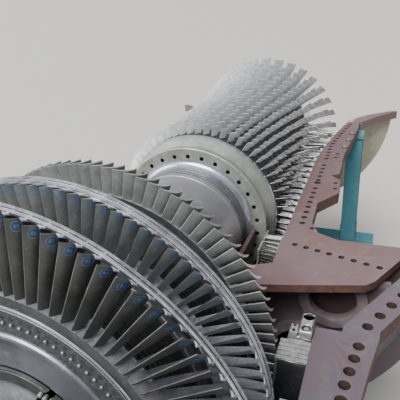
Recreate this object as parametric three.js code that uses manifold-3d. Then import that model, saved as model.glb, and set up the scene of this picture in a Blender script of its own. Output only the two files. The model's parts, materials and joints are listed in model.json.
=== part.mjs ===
// Gas turbine rotor lying in the open lower half of its casing.
// Millimetres, +Z up. The rotor axis runs along +X from the exhaust end to the air inlet end.
// Stations along the axis are counted from the near edge of the last turbine row's shroud.

import * as THREE from 'three';
import { mergeVertices } from 'three/addons/utils/BufferGeometryUtils.js';
import Module from 'manifold-3d';

const wasm = await Module();
wasm.setup();

// Driving dimensions
const AXIS_HEIGHT = 2600;
const AFT_END = -1480;
const FRONT_END = 7250;
const MID_LENGTH = (AFT_END + FRONT_END) / 2;
const SEAT_GAP = 0.3;
const JOURNAL_RADIUS = 240;
const SHAFT_SIDES = 48;
const DRUM_SIDES = 36;
const HALF_SIDES = 18;
const HOLE_SIDES = 8;

// End shafts, as [station, radius] points where they are cones
const HUB_FACE = -20;
const HUB_RADIUS = 430;
const COUPLING = { radius: 330, width: 90, neck: 205 };
const AFT_SHAFT = { neckTo: -1110, journalTo: -560, cone: [[-420, 270], [-150, 300], [-60, 400]] };
const FORWARD_SHAFT = {
  spigot: 560, collar: 40, shoulder: [[170, 330], [300, 265]], journal: [6400, 6900],
};

// Turbine end of the rotor
const PLAIN_TURBINE_BLADES = 46;
const ROW_STATIONS = {
  last: { from: -20, to: 100, root: 925, tip: 1378, shroud: 22, band: [0, 84] },
  middle: { from: 440, to: 560, root: 992, tip: 1289, shroud: 20, band: [448, 560] },
  first: { from: 950, to: 1060, root: 1030, tip: 1214, shroud: 0, band: [0, 0] },
};
const TURBINE_BLADE = {
  footChord: 0.9, footTurn: 0.3, footThickness: 14, headChord: 0.62, headTurn: 0.9, headThickness: 8,
};
const SPACER_RADIUS = 870;
const DISTANCE_PIECE = { skirt: 860, skirtTo: 60, coneTo: 200, barrel: 589 };

// Compressor end of the rotor
const COMPRESSOR_START = 2840;
const COMPRESSOR_STAGES = 17;
const AFT_STAGE_WIDTH = 145;
const FRONT_STAGE_WIDTH = 222;
const COMPRESSOR_LENGTH = COMPRESSOR_STAGES * (AFT_STAGE_WIDTH + FRONT_STAGE_WIDTH) / 2;
const COMPRESSOR_END = COMPRESSOR_START + COMPRESSOR_LENGTH;
const AFT_HUB_RADIUS = 820;
const FRONT_HUB_RADIUS = 590;
const TIP_RADIUS = 925;
const TIP_FLARE = 172;
const FLARE_START = 4500;
const FLARE_LENGTH = 1460;
const FRONT_BLADES = 32;
const PLAIN_BLADES = 20;
const COMPRESSOR_BLADE = {
  footChord: 0.7, footTurn: 0.5, footThickness: 0.08, headChord: 0.8, headTurn: 0.9, headThickness: 0.04,
};
const BOLT_FLANGE = {
  from: 2576, to: 2640, radius: 767, chamfer: 25, cone: [[2750, 800], [2780, AFT_HUB_RADIUS]],
  holes: 30, circle: 682, hole: 21,
};

// Lower half of the casing around the turbine, with the outer edge of its joint flange
const BIG_BOLT_HOLE = 37;
const BOLT_PITCH = 119;
const FLANGE_DEPTH = 120;
const BORE_EDGE = 4;
const TURBINE_BORE = 1428;
const TURBINE_SHELL = { from: -60, to: 1274, wall: 70, collar: 1600, step: 40, collarWidth: 60 };
const TURBINE_FLANGE_EDGE = [[TURBINE_SHELL.to, -1850], [1008, -1806], [742, -1770],
  [TURBINE_SHELL.from, -1770]];
const TURBINE_BOLTS = { first: 90, count: 10, line: 1660, bend: 760, slope: 0.16 };
const SHROUD_RINGS = { first: [905, 1105, 1226], middle: [400, 600, 1325] };
const EXHAUST = {
  from: -1240, mouth: 1560, throat: 1440, wall: 60, rim: 150, rimWidth: 50, edge: [1770, 1880],
  tunnel: { radius: 660, clearance: 100 }, tunnelWall: 40,
  struts: { from: -800, to: -450, inner: 640, outer: 1500, thickness: 70, count: 5 },
};

// Lower half of the casing around the combustion space
const WRAPPER = {
  from: TURBINE_SHELL.to, to: 2450, radius: 1610, slope: 0.525, wall: 40, collar: 65,
  rim: 200, rimWidth: 50, flange: 240, bolts: { first: 100, pitch: 143, count: 7, inset: 140 },
};
const BULKHEAD = { from: 2100, to: 2140, inner: 990, outer: 1925 };
const PORTS = { count: 7, circle: 1510, opening: 203, ring: 290, stand: 50, sides: 12 };
const INNER_BARREL = { from: 1640, to: 2540, inner: 640, outer: 680 };
const GUIDE_VANES = {
  from: 2160, to: 2540, inner: 790, count: 20, thickness: 9, ring: 14, inset: 30,
};
const WING_SHOULDER = 386;
const DISCHARGE = {
  end: 2600, rim: 50, rimWidth: 60, diffuser: 1010, neck: 1070,
  wing: {
    strip: [[1990, 962], [1918, 812], [1918, 0], [1640, 0]],
    corner: [[1652, -910], [1722, -1204], [1862, -1722], [1932, -1792], [2156, -1904]],
    outerEdge: -2050,
  },
  bolts: { count: 8, first: [2338, 1092], step: [28, 104], radius: 26 },
};

// Lower half of the casing around the compressor, with the outer edge of its joint flange
const COMPRESSOR_BORE = 37;
const CASING_SPLIT = 4480;
const CASING_FRONT = 6340;
const COMPRESSOR_RIM = { width: 50, wall: 70, low: 1180, high: 1270 };
const COMPRESSOR_EDGE = {
  start: 1260,
  split: 1300,
  aft: [[4100, -1300], [4032, -1210], [3906, -1335], [3542, -1350], [3240, -1165],
    [2790, -1176]],
  forward: [[CASING_FRONT, -1380], [5900, -1380], [4800, -1290], [CASING_SPLIT, -1290]],
};
const INLET = {
  to: 7060, lip: 1800, wall: 50, bend: [6720, 1430], rim: 1290, rimWidth: 50,
  edge: [[7060, -1930], [6700, -1640]], edgeStart: 1420,
  core: { from: 6180, to: 7000, bend: 6500, bore: 400, hub: 560, taper: 80 },
  struts: { from: 6480, to: 6680, inner: 500, outer: 1440, thickness: 60, count: 5 },
};
const BEARING_SHELL = { aft: [-1040, -620, 620], forward: [6420, 6880, 400] };
const BEARING_BORE = JOURNAL_RADIUS / Math.cos(Math.PI / SHAFT_SIDES) + 0.2;
const BASE = {
  rail: [1400, 1700], railTop: -2250, beamTop: -1950, overhang: 60, from: -300, to: 6600,
  aftFrame: { from: 350, to: 750, legs: [1560, 1760] },
  forwardFrame: { from: 5950, to: 6280, legs: [1215, 1475] },
};

const PRIMER = { color: 0x8f7f82, roughness: 0.85, metalness: 0.1 };
const STEEL = { color: 0xa5a49e, roughness: 0.45, metalness: 0.8 };
const DARK_BLADE = { color: 0x42443f, roughness: 0.5, metalness: 0.7 };
const BRIGHT_BLADE = { color: 0xb5b7b8, roughness: 0.35, metalness: 0.9 };
const WHITE_METAL = { color: 0xc9c9c4, roughness: 0.4, metalness: 0.9 };
const BASE_PAINT = { color: 0x3f9fb4, roughness: 0.6, metalness: 0.1 };

// Solids

function toSolid(geometry) {
  const bare = geometry.clone();
  bare.deleteAttribute('normal');
  bare.deleteAttribute('uv');
  const merged = mergeVertices(bare, 1e-4);
  const mesh = new wasm.Mesh({
    numProp: 3,
    vertProperties: new Float32Array(merged.attributes.position.array),
    triVerts: new Uint32Array(merged.index.array),
  });
  return new wasm.Manifold(mesh);
}

function toGeometry(solid) {
  const mesh = solid.getMesh();
  const geometry = new THREE.BufferGeometry();
  geometry.setAttribute('position', new THREE.BufferAttribute(mesh.vertProperties, 3));
  geometry.setIndex(new THREE.BufferAttribute(mesh.triVerts, 1));
  return geometry;
}

function join(...geometries) {
  const solids = geometries.map(toSolid);
  return toGeometry(solids.reduce((whole, piece) => whole.add(piece)));
}

function cut(geometry, ...tools) {
  const solids = tools.map(toSolid);
  return toGeometry(solids.reduce((whole, tool) => whole.subtract(tool), toSolid(geometry)));
}

function signedVolume(points, faces) {
  let volume = 0;
  for (const [a, b, c] of faces) {
    volume += points[a].dot(points[b].clone().cross(points[c])) / 6;
  }
  return volume;
}

function fromFaces(points, faces) {
  const outward = signedVolume(points, faces) > 0;
  const geometry = new THREE.BufferGeometry();
  geometry.setFromPoints(points);
  geometry.setIndex(faces.flatMap(([a, b, c]) => (outward ? [a, b, c] : [a, c, b])));
  return geometry;
}

function polar(x, radius, angle) {
  return new THREE.Vector3(x, radius * Math.cos(angle), radius * Math.sin(angle));
}

function triangles(contour, holes = []) {
  const outline = contour.map(([u, v]) => new THREE.Vector2(u, v));
  const cuts = holes.map((hole) => hole.map(([u, v]) => new THREE.Vector2(u, v)));
  const flat = [outline, ...cuts].flat();
  return THREE.ShapeUtils.triangulateShape(outline, cuts).map(([a, b, c]) => {
    const area = THREE.ShapeUtils.area([flat[a], flat[b], flat[c]]);
    return area > 0 ? [a, b, c] : [a, c, b];
  });
}

// A solid of revolution about the X axis, from [station, radius] points that start and end on it
function turned(profile, sides = DRUM_SIDES) {
  const points = profile.map(([x, radius]) => new THREE.Vector2(radius, x));
  const lathe = new THREE.LatheGeometry(points, sides);
  lathe.rotateZ(-Math.PI / 2);
  return toGeometry(toSolid(lathe));
}

// The lower half of a ring about the X axis, from a closed loop of [station, radius] points
function halfRing(loop, sides = HALF_SIDES) {
  const area = THREE.ShapeUtils.area(loop.map(([x, radius]) => new THREE.Vector2(x, radius)));
  const profile = area > 0 ? loop : [...loop].reverse();
  const points = [];
  const faces = [];
  const count = profile.length;
  for (let step = 0; step <= sides; step++) {
    const angle = Math.PI + Math.PI * step / sides;
    profile.forEach(([x, radius]) => points.push(polar(x, radius, angle)));
  }
  for (let step = 0; step < sides; step++) {
    for (let i = 0; i < count; i++) {
      const next = (i + 1) % count;
      const near = step * count;
      const far = near + count;
      faces.push([near + i, near + next, far + next], [near + i, far + next, far + i]);
    }
  }
  const last = sides * count;
  for (const [a, b, c] of triangles(profile)) {
    faces.push([a, c, b], [last + a, last + b, last + c]);
  }
  return fromFaces(points, faces);
}

// A flat plate whose top lies at the given height, from [x, y] points and round holes
function plate(outline, top, depth, holes = []) {
  const shape = new THREE.Shape(outline.map(([x, y]) => new THREE.Vector2(x, y)));
  shape.holes = holes.map(([x, y, radius]) => new THREE.Path(
    Array.from({ length: HOLE_SIDES }, (_, k) => {
      const angle = 2 * Math.PI * k / HOLE_SIDES;
      return new THREE.Vector2(x + radius * Math.cos(angle), y + radius * Math.sin(angle));
    })));
  const geometry = new THREE.ExtrudeGeometry(shape, { depth, bevelEnabled: false });
  geometry.translate(0, 0, top - depth);
  return geometry;
}

function block(x0, x1, y0, y1, z0, z1) {
  const geometry = new THREE.BoxGeometry(x1 - x0, y1 - y0, z1 - z0);
  geometry.translate((x0 + x1) / 2, (y0 + y1) / 2, (z0 + z1) / 2);
  return geometry;
}

function rodX(x0, x1, y, z, radius, sides) {
  const geometry = new THREE.CylinderGeometry(radius, radius, x1 - x0, sides);
  geometry.rotateZ(-Math.PI / 2);
  geometry.translate((x0 + x1) / 2, y, z);
  return geometry;
}

function mirrored(outline) {
  return outline.map(([x, y]) => [x, -y]);
}

// Blade section: a thin curved triangle of trailing edge, back and leading edge
function bladeSection(station, chord, stagger, thickness) {
  const axial = chord * Math.cos(stagger) / 2;
  const around = chord * Math.sin(stagger) / 2;
  const back = [thickness * Math.cos(stagger), station - thickness * Math.sin(stagger)];
  return [[-around, station - axial], back, [around, station + axial]];
}

// A wheel with its whole row of blades as one body, with a shroud ring on the tips if it has one
function bladedWheel({ from, to, hubFrom, hubTo, tipFrom, tipTo, blades, root, tip, shroud }) {
  const points = [];
  const faces = [];
  const half = Math.PI / blades;
  const add = (point) => points.push(point) - 1;
  const ringOf = (x, radius) => Array.from({ length: blades }, (_, k) => (
    add(polar(x, radius, (2 * k - 1) * half))));
  const onFacet = (k, [around, x], radius) => {
    const point = polar(x, radius * Math.cos(half), 2 * k * half);
    return point.add(new THREE.Vector3(0, -Math.sin(2 * k * half), Math.cos(2 * k * half))
      .multiplyScalar(around));
  };
  const radiusAt = (x, start, end) => start + (end - start) * (x - from) / (to - from);
  const facet = (k, near, far, start, end, x0, x1, sectionIds, section, outward) => {
    const next = (k + 1) % blades;
    const ids = [near[k], near[next], far[next], far[k], ...sectionIds];
    const side0 = start * Math.sin(half);
    const side1 = end * Math.sin(half);
    const corners = [[-side0, x0], [side0, x0], [side1, x1], [-side1, x1]];
    for (const [a, b, c] of triangles(corners, [section])) {
      faces.push(outward ? [ids[a], ids[b], ids[c]] : [ids[a], ids[c], ids[b]]);
    }
  };
  const rimNear = ringOf(from, hubFrom);
  const rimFar = ringOf(to, hubTo);
  const shroudRings = shroud && {
    near: ringOf(shroud.from, tipFrom),
    far: ringOf(shroud.to, tipTo),
    outerNear: ringOf(shroud.from, tipFrom + shroud.thickness),
    outerFar: ringOf(shroud.to, tipTo + shroud.thickness),
  };
  const nearCentre = add(new THREE.Vector3(from, 0, 0));
  const farCentre = add(new THREE.Vector3(to, 0, 0));
  for (let k = 0; k < blades; k++) {
    const next = (k + 1) % blades;
    faces.push([nearCentre, rimNear[next], rimNear[k]], [farCentre, rimFar[k], rimFar[next]]);
    const foot = root.map((p) => add(onFacet(k, p, radiusAt(p[1], hubFrom, hubTo))));
    const head = tip.map((p) => add(onFacet(k, p, radiusAt(p[1], tipFrom, tipTo))));
    facet(k, rimNear, rimFar, hubFrom, hubTo, from, to, foot, root, true);
    const order = THREE.ShapeUtils.area(root.map(([u, v]) => new THREE.Vector2(u, v))) > 0;
    for (let i = 0; i < foot.length; i++) {
      const j = (i + 1) % foot.length;
      const [a, b] = order ? [i, j] : [j, i];
      faces.push([foot[a], foot[b], head[b]], [foot[a], head[b], head[a]]);
    }
    if (!shroud) {
      triangles(tip).forEach(([a, b, c]) => faces.push([head[a], head[b], head[c]]));
      continue;
    }
    const { near, far, outerNear, outerFar } = shroudRings;
    facet(k, near, far, tipFrom, tipTo, shroud.from, shroud.to, head, tip, false);
    faces.push([outerNear[k], outerNear[next], outerFar[next]]);
    faces.push([outerNear[k], outerFar[next], outerFar[k]]);
    faces.push([near[k], near[next], outerNear[next]], [near[k], outerNear[next], outerNear[k]]);
    faces.push([far[k], outerFar[next], far[next]], [far[k], outerFar[k], outerFar[next]]);
  }
  return fromFaces(points, faces);
}

// Rotor

const rotor = new THREE.Group();
const casing = new THREE.Group();
rotor.position.set(-MID_LENGTH, 0, AXIS_HEIGHT);
casing.position.copy(rotor.position);

function place(group, name, geometry, finish) {
  const mesh = new THREE.Mesh(geometry, new THREE.MeshStandardMaterial(finish));
  mesh.name = name;
  group.add(mesh);
}

// The end shafts: coupling flange, neck, journal and the cone that carries the wheels
function addStubShafts() {
  const { radius, width, neck } = COUPLING;
  const { neckTo, journalTo, cone } = AFT_SHAFT;
  const wheelFace = HUB_FACE - SEAT_GAP;
  const aft = turned([
    [AFT_END, 0], [AFT_END, radius], [AFT_END + width, radius], [AFT_END + width, neck],
    [neckTo, neck], [neckTo, JOURNAL_RADIUS], [journalTo, JOURNAL_RADIUS], ...cone,
    [wheelFace, HUB_RADIUS], [wheelFace, 0],
  ], SHAFT_SIDES);
  place(rotor, 'aft_stub_shaft', aft, STEEL);
  const { spigot, collar, shoulder, journal } = FORWARD_SHAFT;
  const start = COMPRESSOR_END + SEAT_GAP;
  const forward = turned([
    [start, 0], [start, spigot], [start + collar, spigot],
    ...shoulder.map(([along, size]) => [start + along, size]),
    [journal[0], JOURNAL_RADIUS], [journal[1], JOURNAL_RADIUS], [journal[1], neck],
    [FRONT_END - width, neck], [FRONT_END - width, radius], [FRONT_END, radius], [FRONT_END, 0],
  ], SHAFT_SIDES);
  place(rotor, 'forward_stub_shaft', forward, STEEL);
}

function turbineWheel({ from, to, root, tip, shroud, band }) {
  const middle = (from + to) / 2;
  const chord = to - from;
  const head = shroud ? (band[0] + band[1]) / 2 : middle;
  const { footChord, footTurn, footThickness, headChord, headTurn, headThickness } = TURBINE_BLADE;
  return bladedWheel({
    from, to, hubFrom: root, hubTo: root, tipFrom: tip, tipTo: tip, blades: PLAIN_TURBINE_BLADES,
    root: bladeSection(middle, chord * footChord, footTurn, footThickness),
    tip: bladeSection(head, chord * headChord, headTurn, headThickness),
    shroud: shroud && { from: band[0], to: band[1], thickness: shroud },
  });
}

function addTurbineEnd() {
  const { last, middle, first } = ROW_STATIONS;
  place(rotor, 'last_turbine_wheel', turbineWheel(last), DARK_BLADE);
  place(rotor, 'middle_turbine_wheel', turbineWheel(middle), DARK_BLADE);
  place(rotor, 'first_turbine_wheel', turbineWheel(first), DARK_BLADE);
  const spacer = (from, to) => turned([
    [from + SEAT_GAP, 0], [from + SEAT_GAP, SPACER_RADIUS],
    [to - SEAT_GAP, SPACER_RADIUS], [to - SEAT_GAP, 0],
  ]);
  place(rotor, 'aft_turbine_spacer', spacer(last.to, middle.from), STEEL);
  place(rotor, 'forward_turbine_spacer', spacer(middle.to, first.from), STEEL);
  const start = first.to + SEAT_GAP;
  const end = BOLT_FLANGE.from - SEAT_GAP;
  const { skirt, skirtTo, coneTo, barrel } = DISTANCE_PIECE;
  const body = turned([
    [start, 0], [start, skirt], [first.to + skirtTo, skirt], [first.to + coneTo, barrel],
    [end, barrel], [end, 0],
  ]);
  place(rotor, 'distance_piece', body, STEEL);
}

function hubRadius(x) {
  const t = (x - COMPRESSOR_START) / COMPRESSOR_LENGTH;
  return AFT_HUB_RADIUS - (AFT_HUB_RADIUS - FRONT_HUB_RADIUS) * Math.pow(t, 1.6);
}

function tipRadius(x) {
  const t = Math.max(0, (x - FLARE_START) / FLARE_LENGTH);
  return TIP_RADIUS + TIP_FLARE * Math.pow(t, 1.5);
}

function addBoltFlange() {
  const { from, to, radius, chamfer, cone, holes, circle, hole } = BOLT_FLANGE;
  const seat = COMPRESSOR_START - SEAT_GAP;
  const disc = turned([
    [from, 0], [from, radius], [to, radius], [to, radius - chamfer], ...cone,
    [seat, AFT_HUB_RADIUS], [seat, 0],
  ], holes);
  const drills = Array.from({ length: holes }, (_, k) => {
    const angle = 2 * Math.PI * (k + 0.5) / holes;
    const [y, z] = [circle * Math.cos(angle), circle * Math.sin(angle)];
    return rodX(from - 10, to + 30, y, z, hole, HOLE_SIDES);
  });
  place(rotor, 'compressor_aft_flange', cut(disc, ...drills), STEEL);
}

function addCompressor() {
  const { footChord, footTurn, footThickness, headChord, headTurn, headThickness } =
    COMPRESSOR_BLADE;
  let from = COMPRESSOR_START;
  for (let stage = COMPRESSOR_STAGES; stage >= 1; stage--) {
    const share = (COMPRESSOR_STAGES - stage) / (COMPRESSOR_STAGES - 1);
    const width = AFT_STAGE_WIDTH + (FRONT_STAGE_WIDTH - AFT_STAGE_WIDTH) * share;
    const to = from + width;
    const middle = (from + to) / 2;
    const wheel = bladedWheel({
      from: from + SEAT_GAP / 2,
      to: to - SEAT_GAP / 2,
      hubFrom: hubRadius(from),
      hubTo: hubRadius(to),
      tipFrom: tipRadius(from),
      tipTo: tipRadius(to),
      blades: stage === 1 ? FRONT_BLADES : PLAIN_BLADES,
      root: bladeSection(middle, width * footChord, footTurn, width * footThickness),
      tip: bladeSection(middle, width * headChord, headTurn, width * headThickness),
    });
    const label = String(stage).padStart(2, '0');
    place(rotor, `compressor_wheel_${label}`, wheel, BRIGHT_BLADE);
    from = to;
  }
}

// Casing

const compressorBore = (x) => tipRadius(x) + COMPRESSOR_BORE;

function bothSides(outline, holes = []) {
  const farHoles = holes.map(([x, y, radius]) => [x, -y, radius]);
  const far = plate(mirrored(outline), 0, FLANGE_DEPTH, farHoles);
  return [plate(outline, 0, FLANGE_DEPTH, holes), far];
}

function addTurbineShell() {
  const { from, to, wall, collar, collarWidth, step } = TURBINE_SHELL;
  const outer = TURBINE_BORE + wall;
  const shell = halfRing([[from, TURBINE_BORE], [to, TURBINE_BORE], [to, collar + step],
    [to - collarWidth, collar + step], [to - collarWidth, outer], [from + collarWidth, outer],
    [from + collarWidth, collar], [from, collar]]);
  const outline = [[from, -TURBINE_BORE], [to, -TURBINE_BORE], ...TURBINE_FLANGE_EDGE];
  const { first, count, line, bend, slope } = TURBINE_BOLTS;
  const holes = Array.from({ length: count }, (_, k) => {
    const x = first + k * BOLT_PITCH;
    return [x, -(line + slope * Math.max(0, x - bend)), BIG_BOLT_HOLE];
  });
  place(casing, 'turbine_shell_lower', join(shell, ...bothSides(outline, holes)), PRIMER);
}

function wrapperRadius(x) {
  return WRAPPER.radius + WRAPPER.slope * Math.max(0, x - WRAPPER.from - WRAPPER.collar);
}

function addWrapper() {
  const { from, to, wall, collar, rim, rimWidth, flange, bolts } = WRAPPER;
  const near = from + SEAT_GAP;
  const inner0 = wrapperRadius(from);
  const inner1 = wrapperRadius(to);
  const shell = halfRing([[near, inner0], [near + collar, inner0], [to, inner1],
    [to, inner1 + rim], [to - rimWidth, inner1 + rim], [to - rimWidth, inner1 + wall],
    [near + collar, inner0 + wall], [near, inner0 + wall]]);
  const outline = [[near, -inner0], [near + collar, -inner0], [to, -inner1],
    [to, -inner1 - flange], [near + collar, -inner0 - flange], [near, -inner0 - flange]];
  const holes = Array.from({ length: bolts.count }, (_, k) => {
    const x = from + bolts.first + k * bolts.pitch;
    return [x, -(wrapperRadius(x) + bolts.inset), BIG_BOLT_HOLE];
  });
  const whole = join(shell, ...bothSides(outline, holes));
  place(casing, 'combustion_wrapper_lower', whole, PRIMER);
}

// The wall between compressor and combustion space, with the ports for the combustors
function bulkhead() {
  const { from, to, inner, outer } = BULKHEAD;
  const { count, circle, opening, ring, stand, sides } = PORTS;
  const wall = halfRing([[from, inner], [from, outer], [to, outer], [to, inner]]);
  const centres = Array.from({ length: count }, (_, k) => {
    const angle = Math.PI * (1 + (k + 0.5) / count);
    return [circle * Math.cos(angle), circle * Math.sin(angle)];
  });
  const rings = centres.map((centre) => rodX(from - stand, from + 10, ...centre, ring, sides));
  const openings = centres.map((centre) => (
    rodX(from - stand - 20, to + 20, ...centre, opening, sides)));
  return cut(join(wall, ...rings), ...openings);
}

function addDischargeCasing() {
  const near = WRAPPER.to + SEAT_GAP;
  const { rim, rimWidth, diffuser, neck, end, wing, bolts } = DISCHARGE;
  const bore = compressorBore(COMPRESSOR_START);
  const rimRadius = wrapperRadius(WRAPPER.to) + WRAPPER.rim;
  const wall = halfRing([[near, diffuser], [near, rimRadius], [near + rimWidth, rimRadius],
    [near + rimWidth, neck], [end - rim, neck], [end - rim, COMPRESSOR_RIM.low],
    [end, COMPRESSOR_RIM.low], [end, bore], [BULKHEAD.from, bore], [BULKHEAD.from, diffuser]]);
  const barrelSide = INNER_BARREL.outer + SEAT_GAP;
  const { strip, corner, outerEdge } = wing;
  const outline = [[end, -bore], ...strip.map(([x, y]) => [x, -(y || barrelSide)]),
    ...corner, [near, outerEdge], [near, -rimRadius], [near + rimWidth, -rimRadius],
    [near + rimWidth, -neck - WING_SHOULDER], [end, -COMPRESSOR_EDGE.start]];
  const holes = Array.from({ length: bolts.count }, (_, k) => (
    [bolts.first[0] - bolts.step[0] * k, -(bolts.first[1] + bolts.step[1] * k), bolts.radius]));
  place(casing, 'discharge_casing_lower',
    join(wall, bulkhead(), ...bothSides(outline, holes)), PRIMER);
}

function addInnerBarrel() {
  const { from, to, inner, outer } = INNER_BARREL;
  const barrel = halfRing([[from, inner], [to, inner], [to, outer], [from, outer]]);
  place(casing, 'inner_barrel_lower', barrel, PRIMER);
}

// One length of the compressor casing: its bore follows the blade tips, with a rim at each end
function compressorShell(from, to, steps, nearRim, farRim) {
  const { width, wall } = COMPRESSOR_RIM;
  const stations = Array.from({ length: steps + 1 }, (_, k) => from + (to - from) * k / steps);
  const bore = stations.map((x) => [x, compressorBore(x)]);
  return halfRing([...bore, [to, farRim], [to - width, farRim], [to - width, farRim - wall],
    [from + width, nearRim - wall], [from + width, nearRim], [from, nearRim]]);
}

function addCompressorCasing() {
  const { low, high } = COMPRESSOR_RIM;
  const aftFrom = DISCHARGE.end + SEAT_GAP;
  const aftTo = CASING_SPLIT - SEAT_GAP;
  const inner = compressorBore(aftFrom) + 1;
  const aftOutline = [[aftFrom, -inner], [aftTo, -inner], [aftTo, -COMPRESSOR_EDGE.split],
    ...COMPRESSOR_EDGE.aft, [aftFrom, -COMPRESSOR_EDGE.start]];
  const aft = join(compressorShell(aftFrom, aftTo, 1, low, low), ...bothSides(aftOutline));
  place(casing, 'compressor_casing_aft_lower', aft, PRIMER);
  const bends = [CASING_SPLIT, FLARE_START + 400, FLARE_START + 900, CASING_FRONT];
  const innerEdge = bends.map((x) => [x, -compressorBore(x) - BORE_EDGE]);
  const shell = compressorShell(CASING_SPLIT, CASING_FRONT, 5, low, high);
  const forward = join(shell, ...bothSides([...innerEdge, ...COMPRESSOR_EDGE.forward]));
  place(casing, 'compressor_casing_forward_lower', forward, PRIMER);
}

function addGuideVanes() {
  const { from, to, inner, count, thickness, ring, inset } = GUIDE_VANES;
  const seat = compressorBore(from) - SEAT_GAP;
  const outerRing = halfRing([[from, seat - ring], [to, seat - ring], [to, seat], [from, seat]]);
  const innerRing = halfRing([[from, inner], [to, inner], [to, inner + ring],
    [from, inner + ring]]);
  const low = inner + ring / 2;
  const high = seat - ring / 2;
  const vanes = Array.from({ length: count }, (_, k) => {
    const vane = block(from + inset, to - inset, low, high, -thickness / 2, thickness / 2);
    return vane.rotateX(Math.PI * (1 + (k + 0.5) / count));
  });
  place(casing, 'exit_guide_vanes_lower', join(outerRing, innerRing, ...vanes), STEEL);
}

function addShroudRings() {
  for (const [row, [from, to, inner]] of Object.entries(SHROUD_RINGS)) {
    const seat = TURBINE_BORE - SEAT_GAP;
    const ring = halfRing([[from, inner], [to, inner], [to, seat], [from, seat]]);
    place(casing, `${row}_row_shroud_lower`, ring, WHITE_METAL);
  }
}

function struts({ from, to, inner, outer, thickness, count }) {
  return Array.from({ length: count }, (_, k) => {
    const strut = block(from, to, inner, outer, -thickness / 2, thickness / 2);
    return strut.rotateX(Math.PI * (1 + (k + 0.5) / count));
  });
}

function addExhaustFrame() {
  const { from, mouth, throat, wall, rim, rimWidth, tunnel, tunnelWall, edge } = EXHAUST;
  const to = TURBINE_SHELL.from - SEAT_GAP;
  const shell = halfRing([[from, mouth], [to, throat], [to, throat + rim],
    [to - rimWidth, throat + rim], [to - rimWidth, throat + wall],
    [from + rimWidth, mouth + wall], [from + rimWidth, mouth + rim], [from, mouth + rim]],
  SHAFT_SIDES / 2);
  const tunnelTo = TURBINE_SHELL.from - tunnel.clearance;
  const hub = halfRing([[from, tunnel.radius - tunnelWall], [tunnelTo, tunnel.radius - tunnelWall],
    [tunnelTo, tunnel.radius], [from, tunnel.radius]], SHAFT_SIDES / 2);
  const outline = [[to, -throat - 1], [from, -mouth - 1], [from, -edge[1]], [to, -edge[0]]];
  const whole = join(shell, hub, ...struts(EXHAUST.struts), ...bothSides(outline));
  place(casing, 'exhaust_frame_lower', whole, PRIMER);
}

function addInletCasing() {
  const { to, lip, wall, bend, rim, rimWidth, core } = INLET;
  const from = CASING_FRONT + SEAT_GAP;
  const throat = compressorBore(CASING_FRONT);
  const bell = halfRing([[from, throat], [bend[0], bend[1]], [to, lip], [to, lip + wall],
    [bend[0] - wall / 2, bend[1] + wall], [from + rimWidth, rim - wall / 2],
    [from + rimWidth, rim], [from, rim]], SHAFT_SIDES / 2);
  const { bore, hub, taper } = core;
  const middle = halfRing([[core.from, bore], [core.to, bore], [core.to, hub - taper],
    [core.bend, hub], [core.from, hub]], SHAFT_SIDES / 2);
  const outline = [[from, -throat - BORE_EDGE], [bend[0], -bend[1] - BORE_EDGE],
    [to, -lip - BORE_EDGE], ...INLET.edge, [from, -INLET.edgeStart]];
  const whole = join(bell, middle, ...struts(INLET.struts), ...bothSides(outline));
  place(casing, 'inlet_casing_lower', whole, PRIMER);
}

function addBearings() {
  for (const [end, [from, to, seat]] of Object.entries(BEARING_SHELL)) {
    const outer = seat - SEAT_GAP;
    const shell = halfRing([[from, BEARING_BORE], [to, BEARING_BORE], [to, outer],
      [from, outer]], SHAFT_SIDES / 2);
    place(casing, `${end}_bearing_lower`, shell, WHITE_METAL);
  }
}

// A cross beam on the rails with a leg under each joint flange
function supportFrame({ from, to, legs: [inner, outer] }) {
  const foot = BASE.railTop + SEAT_GAP;
  const top = -FLANGE_DEPTH - SEAT_GAP;
  const left = block(from, to, inner, outer, foot, top);
  const right = block(from, to, -outer, -inner, foot, top);
  const half = BASE.rail[1] + BASE.overhang;
  return join(block(from, to, -half, half, foot, BASE.beamTop), left, right);
}

function addBase() {
  place(casing, 'aft_support_frame', supportFrame(BASE.aftFrame), BASE_PAINT);
  place(casing, 'forward_support_frame', supportFrame(BASE.forwardFrame), BASE_PAINT);
  const [inner, outer] = BASE.rail;
  const rails = { left: [inner, outer], right: [-outer, -inner] };
  for (const [side, [low, high]] of Object.entries(rails)) {
    const rail = block(BASE.from, BASE.to, low, high, -AXIS_HEIGHT, BASE.railTop);
    place(casing, `base_rail_${side}`, rail, BASE_PAINT);
  }
}

addStubShafts();
addTurbineEnd();
addBoltFlange();
addCompressor();
addTurbineShell();
addWrapper();
addDischargeCasing();
addInnerBarrel();
addCompressorCasing();
addGuideVanes();
addShroudRings();
addExhaustFrame();
addInletCasing();
addBearings();
addBase();

const part = new THREE.Group();
part.add(rotor, casing);

export default part;
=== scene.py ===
"""Gas turbine rotor in its open lower casing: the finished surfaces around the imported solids."""

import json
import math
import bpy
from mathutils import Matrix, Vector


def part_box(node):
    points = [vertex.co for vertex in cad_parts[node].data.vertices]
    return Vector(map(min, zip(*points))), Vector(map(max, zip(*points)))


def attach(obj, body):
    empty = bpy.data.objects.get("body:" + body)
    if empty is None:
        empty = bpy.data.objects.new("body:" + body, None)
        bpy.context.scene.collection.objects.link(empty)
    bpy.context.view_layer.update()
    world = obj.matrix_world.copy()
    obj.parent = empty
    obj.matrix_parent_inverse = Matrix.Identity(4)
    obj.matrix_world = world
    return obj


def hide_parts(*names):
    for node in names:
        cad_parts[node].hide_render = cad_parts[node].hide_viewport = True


bl_info = {
    "name": "Gas turbine rotor in its lower casing",
    "version": (1, 0, 0),
    "blender": (4, 5, 0),
    "location": "View3D > Sidebar > Turbine",
    "description": "Models the dressed rotor, casing half and base of a heavy gas turbine",
    "category": "Object",
}

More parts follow.
